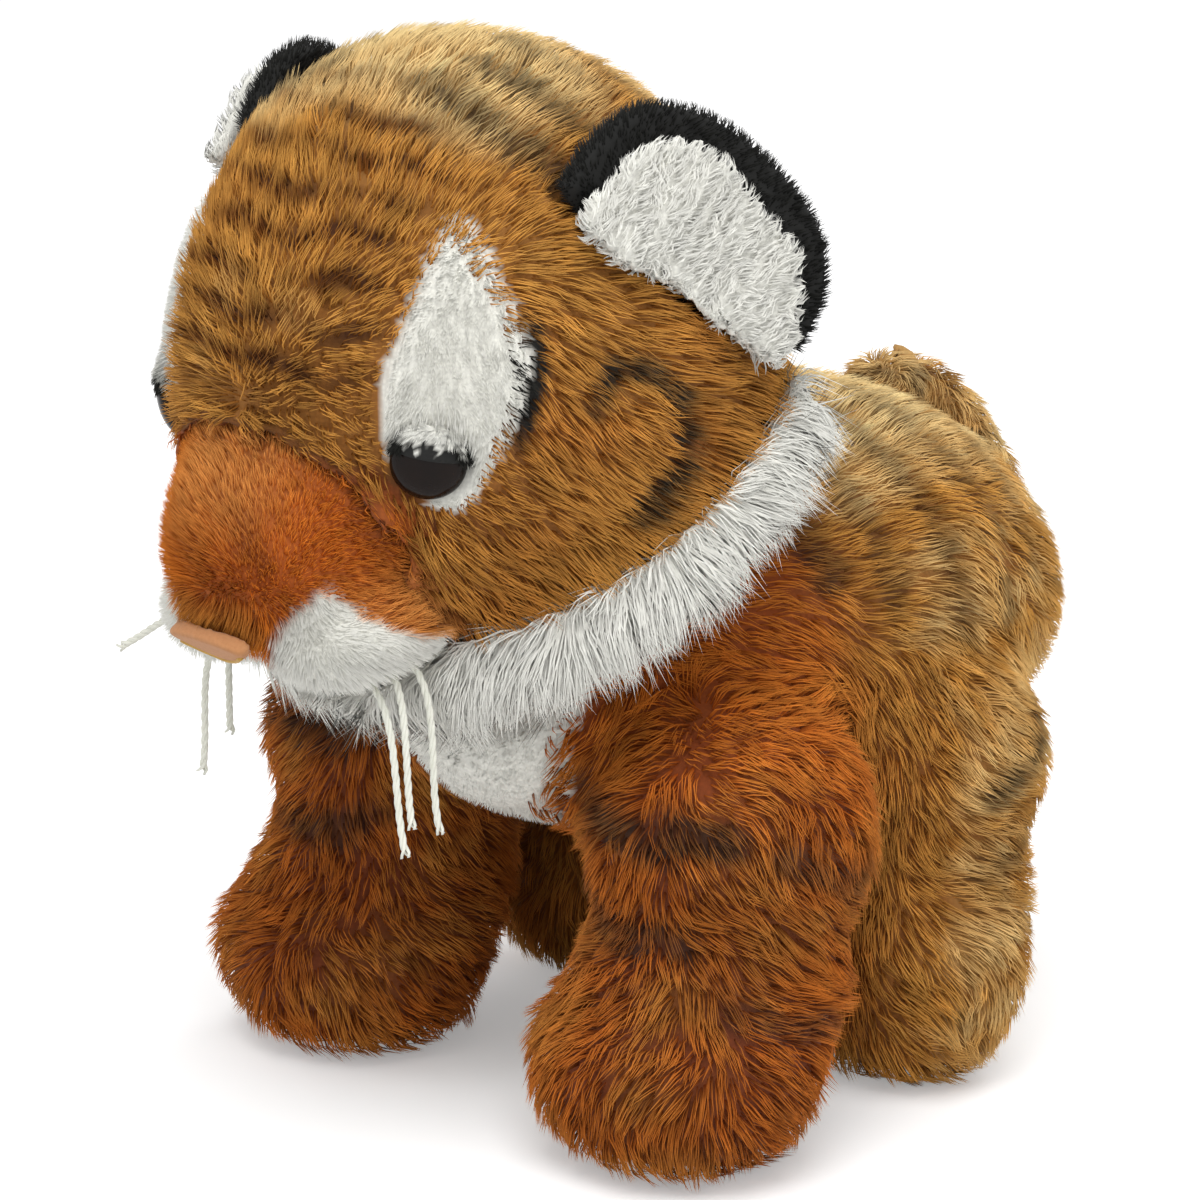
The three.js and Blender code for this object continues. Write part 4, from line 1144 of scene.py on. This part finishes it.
# Nose: a low stuffed pad under the muzzle's pile
NOSE_FOOT, NOSE_LIFT, NOSE_FLATNESS = 12.2, 2.4, 0.6
nose = rounded(joined("nose_pad", "nose"), 0.6, 6)
nose_places = to_head(corners(nose) / MM)
nose_places[:, 2] = NOSE_FOOT + NOSE_LIFT + (nose_places[:, 2] - NOSE_FOOT) * NOSE_FLATNESS
set_corners(nose, (from_head(nose_places) + NECK_MM) * MM)
nose.data.materials.append(nose_velour)
smooth_shaded(nose)
settle(nose, "head", ("nose",))


# Shaping the covers
PANEL_DEPTH = 1.2


def head_depth(mm):
    """The pile is shallow on the eye patches."""
    share = 1 - step(patch_distance(mm), -1.5, 1)
    return HEAD["depth"] + (VELVET["depth"] - HEAD["depth"]) * share


def torso_depth(mm):
    """The pile is shallow on the white panel."""
    return np.where(in_panel(mm, mm, 0) > 0.5, PANEL_DEPTH, LONG["depth"])


cover("head_cover", ("head_skin", "eye_patch_left", "eye_patch_right", "head_stuffing"), 2.0, 14, head_depth,
      ("eye_washer_left", "eye_washer_right", "eye_left", "eye_right"))
# Muzzle and lip in one form, so that the pile runs on over the lip's seam
cover("muzzle_cover", ("muzzle_skin", "muzzle_stuffing", "whisker_pads"), 1.6, 8, MUZZLE["depth"],
      ("nose",), 16)
# The coat over torso and legs together, so that the pile rooted on it runs on over the leg seams
cover("coat_form", ("torso_skin", "chest_belly_panel", "torso_stuffing", *LEG_SKINS, *LEG_FILLINGS), 2.5, 8,
      torso_depth, ("tail_root_stuffing", "neck_stuffing", "ruff_left", "ruff_right"), 24)
for label in SIDES:
    cover(f"ruff_cover_{label}", (f"ruff_{label}",), 2.0, 8, RUFF["depth"],
          ("torso_skin", "chest_belly_panel", "front_leg_skin_left", "front_leg_skin_right"))
    cover(f"ear_back_cover_{label}", (f"ear_back_{label}",), 1.5, 6, EAR_BACK["depth"])
    cover(f"ear_lining_cover_{label}", (f"ear_lining_{label}",), 0.9, 6, FLEECE["depth"])
cover("tail_cover", ("tail_skin", "tail_stuffing"), 1.8, 8, TAIL["depth"], ("tail_root_stuffing",))
cover("neck_cover", ("neck_stuffing",), 2.0, 6, NECK["depth"])
cover("tail_root_cover", ("tail_root_stuffing",), 1.2, 4, 0.2)

# Fleece in the ears: it reaches the seam and the inner end, leaves the rim free, and rises in ribs and lumps
for label, sign in SIDES.items():
    lining = covers[f"ear_lining_cover_{label}"]
    co, no = corners(lining), vertex_normals(lining)
    along, up = ear_place(co / MM)
    inward = 1.5 * step(-along, 8, 22) + 4.2 * step(along, 8, 24) * step(up, 4, 12)
    down = 5.0 * (1 - step(up, 3, 16)) + 4.6 * step(up, 8, 24) * step(along, -14, 8)
    grown = -EAR_ALONG * inward[:, None] - EAR_UP * down[:, None]
    grown[:, 0] *= sign
    rib = 0.3 * (2 * fleece_ribs(co / MM) - 1)
    lumps = 0.5 * wander(co / MM, 8, 71) + rib + 0.7 * (1 - step(up, 3, 12))
    set_corners(lining, co + (from_head(grown) + no * lumps[:, None]) * MM)

# Pile of the torso, the legs and the head
for label, sign in SIDES.items():
    pile(f"torso_pile_{label}", "coat_form", 15500, 100 + sign, LONG, body_colours, torso_flow, "torso",
         keep=both(side_keep(sign), off_panel, off_legs))
pile("chest_belly_pile", "coat_form", 14000, 110, VELVET, white_colours, chest_flow, "torso",
     short_pile, in_panel, replaced=("chest_belly_panel",))
for label, sign in SIDES.items():
    for which, middle in LEG_MIDDLES.items():
        seed = 200 + 10 * (which == "hind") + (sign < 0)
        leg_pile = grow(f"{which}_leg_pile_{label}", covers["coat_form"], LEG_FIBRES[which], seed, LEG,
                        body_colours, leg_flow(*middle), both(off_panel, on_leg(which, label)),
                        around("coat_form"))
        blend_leg(leg_pile)
for label, sign in SIDES.items():
    pile(f"face_pile_{label}", "head_cover", 14500, 300 + sign, HEAD, head_pile_colours, head_flow, "head",
         keep=both(side_keep(sign), off_patch, front_part), trim=face_trim)
    pile(f"crown_pile_{label}", "head_cover", 13500, 310 + sign, HEAD, head_pile_colours, head_flow, "head",
         keep=both(side_keep(sign), off_patch, rear_part), trim=over_ruff)
    pile(f"eye_patch_pile_{label}", "head_cover", 9000, 320 + sign, VELVET, patch_colours, patch_flow, "head",
         short_pile, both(side_keep(sign), on_patch), patch_trim, (f"eye_patch_{label}",))

# Pile of the muzzle, whisker pads, ruff, ears, tail and neck
pile("muzzle_pile", "muzzle_cover", 24000, 400, MUZZLE, muzzle_colours, muzzle_flow, "head",
     short_pile, off_lip, muzzle_trim)
pile("whisker_pads_pile", "muzzle_cover", 18000, 410, LIP, muzzle_colours, pad_flow, "head",
     short_pile, on_lip, replaced=("whisker_pads",))
for label, sign in SIDES.items():
    pile(f"ruff_pile_{label}", f"ruff_cover_{label}", 9500, 420 + sign, RUFF, white_colours, ruff_flow,
         "head", trim=ruff_trim)
    pile(f"ear_back_pile_{label}", f"ear_back_cover_{label}", 7500, 430 + sign, EAR_BACK, black_colours,
         ear_flow, f"ear_{label}", black_pile)
    pile(f"ear_lining_pile_{label}", f"ear_lining_cover_{label}", 5000, 440 + sign, FLEECE, fleece_colours,
         ear_flow, f"ear_{label}", fleece_pile)
pile("tail_pile", "tail_cover", 5500, 450, TAIL, tail_colours, tail_flow, "tail")
pile("tail_root_pile", "tail_root_cover", 1000, 460, TAIL_ROOT, tail_colours, tail_flow, "tail_root")
pile("neck_pile", "neck_cover", 5500, 470, NECK, neck_colours, neck_ring_flow, "neck",
     keep=near_neck_joint)


# Cloth of the covers, and filling
def coat_cloth_colours(mm, normals):
    return blend_pairs(body_colours(mm, normals), WHITE, in_panel(mm, normals, 0))


def coat_part(name, keep):
    """The coat's cloth where keep holds, with the coat's colours."""
    bm = bmesh.new()
    bm.from_mesh(covers["coat_form"].data)
    centres = np.array([f.calc_center_median() for f in bm.faces]) / MM
    good = keep(centres, centres, 0) > 0.5
    bm.faces.ensure_lookup_table()
    bmesh.ops.delete(bm, geom=[bm.faces[i] for i in np.flatnonzero(~good)], context="FACES")
    return cloth(as_object(bm, name), 1.0, coat_cloth_colours, 0.08)


settle(coat_part("torso_cloth", off_legs), "torso", ("torso_skin",))
for which, label in LEGS:
    leg_cloth = coat_part(f"{which}_leg_cloth_{label}", on_leg(which, label))
    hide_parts(f"{which}_leg_skin_{label}")
    blend_leg(leg_cloth)
    fill(f"{which}_leg_filling_{label}", f"{which}_{label}_leg")
bpy.data.objects.remove(covers.pop("coat_form"))

finish_cover("head_cover", "head", head_cover_colours, ("head_skin",))
finish_cover("muzzle_cover", "head", muzzle_colours, ("muzzle_skin",))
finish_cover("tail_cover", "tail", tail_colours, ("tail_skin",), 0.8)
finish_cover("tail_root_cover", "tail_root", tail_colours, (), 0.6)
finish_cover("neck_cover", "neck", neck_colours, ())
fill("torso_filling", "torso")
fill("neck_filling", "neck", 2.0)
fill("head_filling", "head")
fill("muzzle_filling", "head")
fill("tail_filling", "tail")
fill("tail_root_filling", "tail_root", 1.2)
for label in SIDES:
    finish_cover(f"ruff_cover_{label}", "head", white_colours, (f"ruff_{label}",))
    finish_cover(f"ear_back_cover_{label}", f"ear_{label}", black_colours, (f"ear_back_{label}",),
                 0.6)
    finish_cover(f"ear_lining_cover_{label}", f"ear_{label}", fleece_colours, (f"ear_lining_{label}",),
                 0.6)


# Turned pieces and threads
def ring(bm, centre, u, v, radius, sides):
    """Corners round a centre, in the plane of two directions."""
    return [bm.verts.new(Vector(centre + (u * math.cos(t) + v * math.sin(t)) * radius))
            for t in np.linspace(0, 2 * math.pi, sides, endpoint=False)]


def skin_rings(bm, rings, capped):
    """Faces between each ring of corners and the next, and over both ends where they are capped."""
    for lower, upper in zip(rings, rings[1:]):
        for k in range(max(len(lower), len(upper))):
            quad = [lower[k % len(lower)], lower[(k + 1) % len(lower)],
                    upper[(k + 1) % len(upper)], upper[k % len(upper)]]
            bm.faces.new(list(dict.fromkeys(quad)))
    if capped:
        bm.faces.new(rings[0][::-1])
        bm.faces.new(rings[-1])


def finished(bm, name, material):
    bmesh.ops.recalc_face_normals(bm, faces=bm.faces)
    return smooth_shaded(as_object(bm, name, material))


def lathe(name, profile_mm, at, axis, segments, material):
    """A turned piece: radius and height pairs about an axis through a place."""
    bm = bmesh.new()
    x, y = np.array([1.0, 0, 0]), np.array([0, 1.0, 0])
    skin_rings(bm, [ring(bm, np.array([0, 0, height * MM]), x, y, radius * MM, segments if radius else 1)
                    for radius, height in profile_mm], False)
    matrix = Matrix.Translation(Vector(at)) @ Vector(axis).to_track_quat("Z", "Y").to_matrix().to_4x4()
    bmesh.ops.transform(bm, matrix=matrix, verts=bm.verts)
    return finished(bm, name, material)


# Overcast edge of the nose: the lowest front places of the pad, from side to side
EDGE_HALF, EDGE_STEPS, EDGE_RADIUS, THREAD_SIDES = 8.6, 31, 0.45, 8
edge_places = []
for x in np.linspace(-EDGE_HALF, EDGE_HALF, EDGE_STEPS):
    near = nose_places[np.abs(nose_places[:, 0] - x) < 0.6]
    edge_places.append(near[np.argmax(-near[:, 1] * 0.5 - near[:, 2])])
edge_places = np.array(edge_places)
for _ in range(3):
    edge_places[1:-1] = (edge_places[:-2] + 2 * edge_places[1:-1] + edge_places[2:]) / 4
edge_path = (from_head(edge_places) + NECK_MM) * MM
edge_ways = unit(np.gradient(edge_path, axis=0))
across = unit(np.cross(edge_ways, np.array([0.13, 0.31, 1.0])))
bm = bmesh.new()
skin_rings(bm, [ring(bm, c, u, v, EDGE_RADIUS * MM, THREAD_SIDES)
                for c, u, v in zip(edge_path, across, np.cross(edge_ways, across))], True)
settle(finished(bm, "nose_edge_thread", yellow_floss), "head", ())


# Eyes: a bead with its shank, a washer behind the cloth, and a lid of white plush with a black edge, widened
# by painted shade over the bead
def dome(radius, height, points, foot=0.6):
    """The upper part of a profile: a low dome above its foot."""
    turns = np.linspace(0, math.pi / 2, points)[:-1]
    return [(radius * math.cos(a), foot + height * math.sin(a)) for a in turns] + [(0, foot + height)]


BEAD = [(0, -10.8), (1.4, -10.8), (1.8, -10.4), (1.8, 0.0), (6.1, 0.0), (6.5, 0.4), *dome(6.5, 3.0, 12)]
WASHER = [(2.0, -8.8), (7.0, -8.8), (7.0, -8.4), (6.6, -8.0), (3.0, -7.6), (2.0, -7.0), (2.0, -8.8)]
LID_FORM = [(6.6, -0.6), (6.8, 0.1), *dome(6.8, 3.3, 14)]
EYE_DEPTH = 5.0
# LID_EDGE cuts the lid; the black band above it is black fuzz widened by painted shade over the bead
LID_EDGE, LID_BLACK_AND_SHADE = 2.0, 2.6


def eye_seat(label, sign):
    """Where an eye's foot is, and the way that the eye looks."""
    look = from_head(np.array([[sign * math.sqrt(0.5), -math.sqrt(0.5), 0.0]]))[0]
    co = corners(nodes[f"eye_{label}"])
    return co[np.argmax(co @ look)] - look * EYE_DEPTH * MM, look


for label, sign in SIDES.items():
    seat, look = eye_seat(label, sign)
    bead = lathe(f"eye_bead_{label}", BEAD, seat, look, 48, eye_gloss)
    settle(bead, "head", (f"eye_{label}",))
    washer = lathe(f"eye_lock_washer_{label}", WASHER, seat, look, 32, washer_white)
    settle(washer, "head", (f"eye_washer_{label}",))
for label, sign in SIDES.items():
    seat, look = eye_seat(label, sign)
    over = from_head(np.array([[sign * 0.34, 0.2, 0.9]]))[0]
    over = unit(over - (over @ look) * look)
    lid = lathe(f"eye_lid_{label}", LID_FORM, seat, look, 56, backing)
    bm = bmesh.new()
    bm.from_mesh(lid.data)
    bmesh.ops.bisect_plane(bm, geom=bm.verts[:] + bm.edges[:] + bm.faces[:],
                           plane_co=Vector(seat + over * LID_EDGE * MM), plane_no=Vector(over),
                           clear_inner=True)
    bm.to_mesh(lid.data)
    bm.free()

    def lid_colours(mm, out, seat_mm=seat / MM, way=over):
        """Black along the lid's edge, white above. The black band is the lid's black fuzz, carried wider over
        the bead as painted shade.
        """
        # the black band's width takes in painted shade over the bead as well as the black fuzz
        edge = LID_EDGE + LID_BLACK_AND_SHADE + 1.2 * wander(mm, 1.6, 53)
        return blend_pairs(BLACK, WHITE, step((mm - seat_mm) @ way - edge, -0.4, 0.4))

    covers[lid.name] = lid
    cover_depth[lid.name] = np.full(len(lid.data.vertices), LID["depth"])
    pile(f"eye_lid_pile_{label}", lid.name, 1500, 520 + sign, LID, lid_colours,
         lambda mm, out, way=over: np.tile(-way, (len(mm), 1)), "head", short_pile)
    lid.data.materials.clear()
    finish_cover(lid.name, "head", lid_colours, (), 0.35)


# Whiskers: three plies of floss, twisted, fraying at the end
PLY_RADIUS, PLY_SPREAD, PLY_TURNS, PLY_STEPS = 0.38, 0.33, 5, 41


def whisker(name, node, seed):
    """Floss along the CAD whisker's own line."""
    rng = np.random.default_rng(seed)
    co = np.unique(np.round(corners(nodes[node]), 6), axis=0)
    middle = co.mean(0)
    axis = np.linalg.svd(co - middle, full_matrices=False)[2][0]
    axis = -axis if axis[2] > 0 else axis
    line = np.array([part.mean(0) for part in np.array_split(co[np.argsort((co - middle) @ axis)], 5)])
    share = np.linspace(0, 1, PLY_STEPS)
    path = np.stack([np.polyval(np.polyfit(np.linspace(0, 1, 5), line[:, k], 3), share) for k in range(3)], 1)
    u = unit(np.cross(axis, [0.3, 1.0, 0.1]))
    v = np.cross(axis, u)
    radii = PLY_RADIUS * MM * (1 - 0.3 * step(share, 0.92, 1.0))
    bm = bmesh.new()
    for ply in range(3):
        angle = (2 * math.pi * ply / 3 + share * 2 * math.pi * PLY_TURNS)[:, None]
        spread = PLY_SPREAD * MM * (1 + 1.6 * step(share, 0.93, 1.0) * rng.uniform(0.5, 1.2))
        centres = path + (u * np.cos(angle) + v * np.sin(angle)) * spread[:, None]
        skin_rings(bm, [ring(bm, c, u, v, r, THREAD_SIDES) for c, r in zip(centres, radii)], True)
    settle(finished(bm, name, floss), "head", (node,))


for i, place in enumerate(("front", "middle", "rear")):
    for label in SIDES:
        seed = 500 + i * 2 + (label == "right")
        whisker(f"whisker_floss_{label}_{place}", f"whisker_{label}_{place}", seed)


# Studio: a pale paper floor that glows a little to the camera, four soft lights and a white surround
def seen_by_camera(tree, other, seen):
    """The second shader to the camera's own rays, and the first one to all the rest."""
    ray = add_node(tree, "ShaderNodeLightPath").outputs["Is Camera Ray"]
    return add_node(tree, "ShaderNodeMixShader", (), {0: ray, 1: other.outputs[0], 2: seen.outputs[0]})


floor_mesh = bpy.data.meshes.new("floor")
floor_mesh.from_pydata([(-6, -6, 0), (6, -6, 0), (6, 6, 0), (-6, 6, 0)], [], [(0, 1, 2, 3)])
floor_ob = link(bpy.data.objects.new("floor", floor_mesh))
floor_material, tree = new_material("pale_paper_floor")
paper = add_node(tree, "ShaderNodeBsdfDiffuse", {"Color": (0.9, 0.9, 0.9, 1)})
glow = add_node(tree, "ShaderNodeEmission", {"Color": (1, 1, 1, 1), "Strength": 0.28})
unlit = add_node(tree, "ShaderNodeEmission", {"Color": (0, 0, 0, 1), "Strength": 0.0})
seen = seen_by_camera(tree, unlit, glow)
lit = add_node(tree, "ShaderNodeAddShader", (), {0: paper.outputs[0], 1: seen.outputs[0]})
add_node(tree, "ShaderNodeOutputMaterial", (), {"Surface": lit.outputs[0]})
floor_mesh.materials.append(floor_material)


def softbox(name, at, size, watts, target=(0, 0, 0.09)):
    lamp = bpy.data.lights.new(name, "AREA")
    lamp.shape, lamp.size, lamp.energy = "SQUARE", size, watts
    ob = link(bpy.data.objects.new(name, lamp))
    ob.location = at
    ob.rotation_euler = (Vector(target) - Vector(at)).to_track_quat("-Z", "Y").to_euler()


softbox("softbox_above", (0.5, -0.5, 1.5), 1.0, 16)
softbox("softbox_left", (-1.2, -1.2, 0.7), 0.9, 5)
softbox("softbox_right", (1.4, -0.4, 0.6), 0.9, 5)
softbox("softbox_behind", (-0.4, 1.5, 1.0), 0.9, 6)

world = bpy.data.worlds.new("studio")
bpy.context.scene.world = world
world.use_nodes = True
tree = world.node_tree
tree.nodes.clear()
ambient = add_node(tree, "ShaderNodeBackground", {"Color": (1, 1, 1, 1), "Strength": 0.55})
white = add_node(tree, "ShaderNodeBackground", {"Color": (1, 1, 1, 1), "Strength": 1.0})
sky = seen_by_camera(tree, ambient, white)
add_node(tree, "ShaderNodeOutputWorld", (), {"Surface": sky.outputs[0]})
bpy.context.scene.view_settings.view_transform = "Standard"
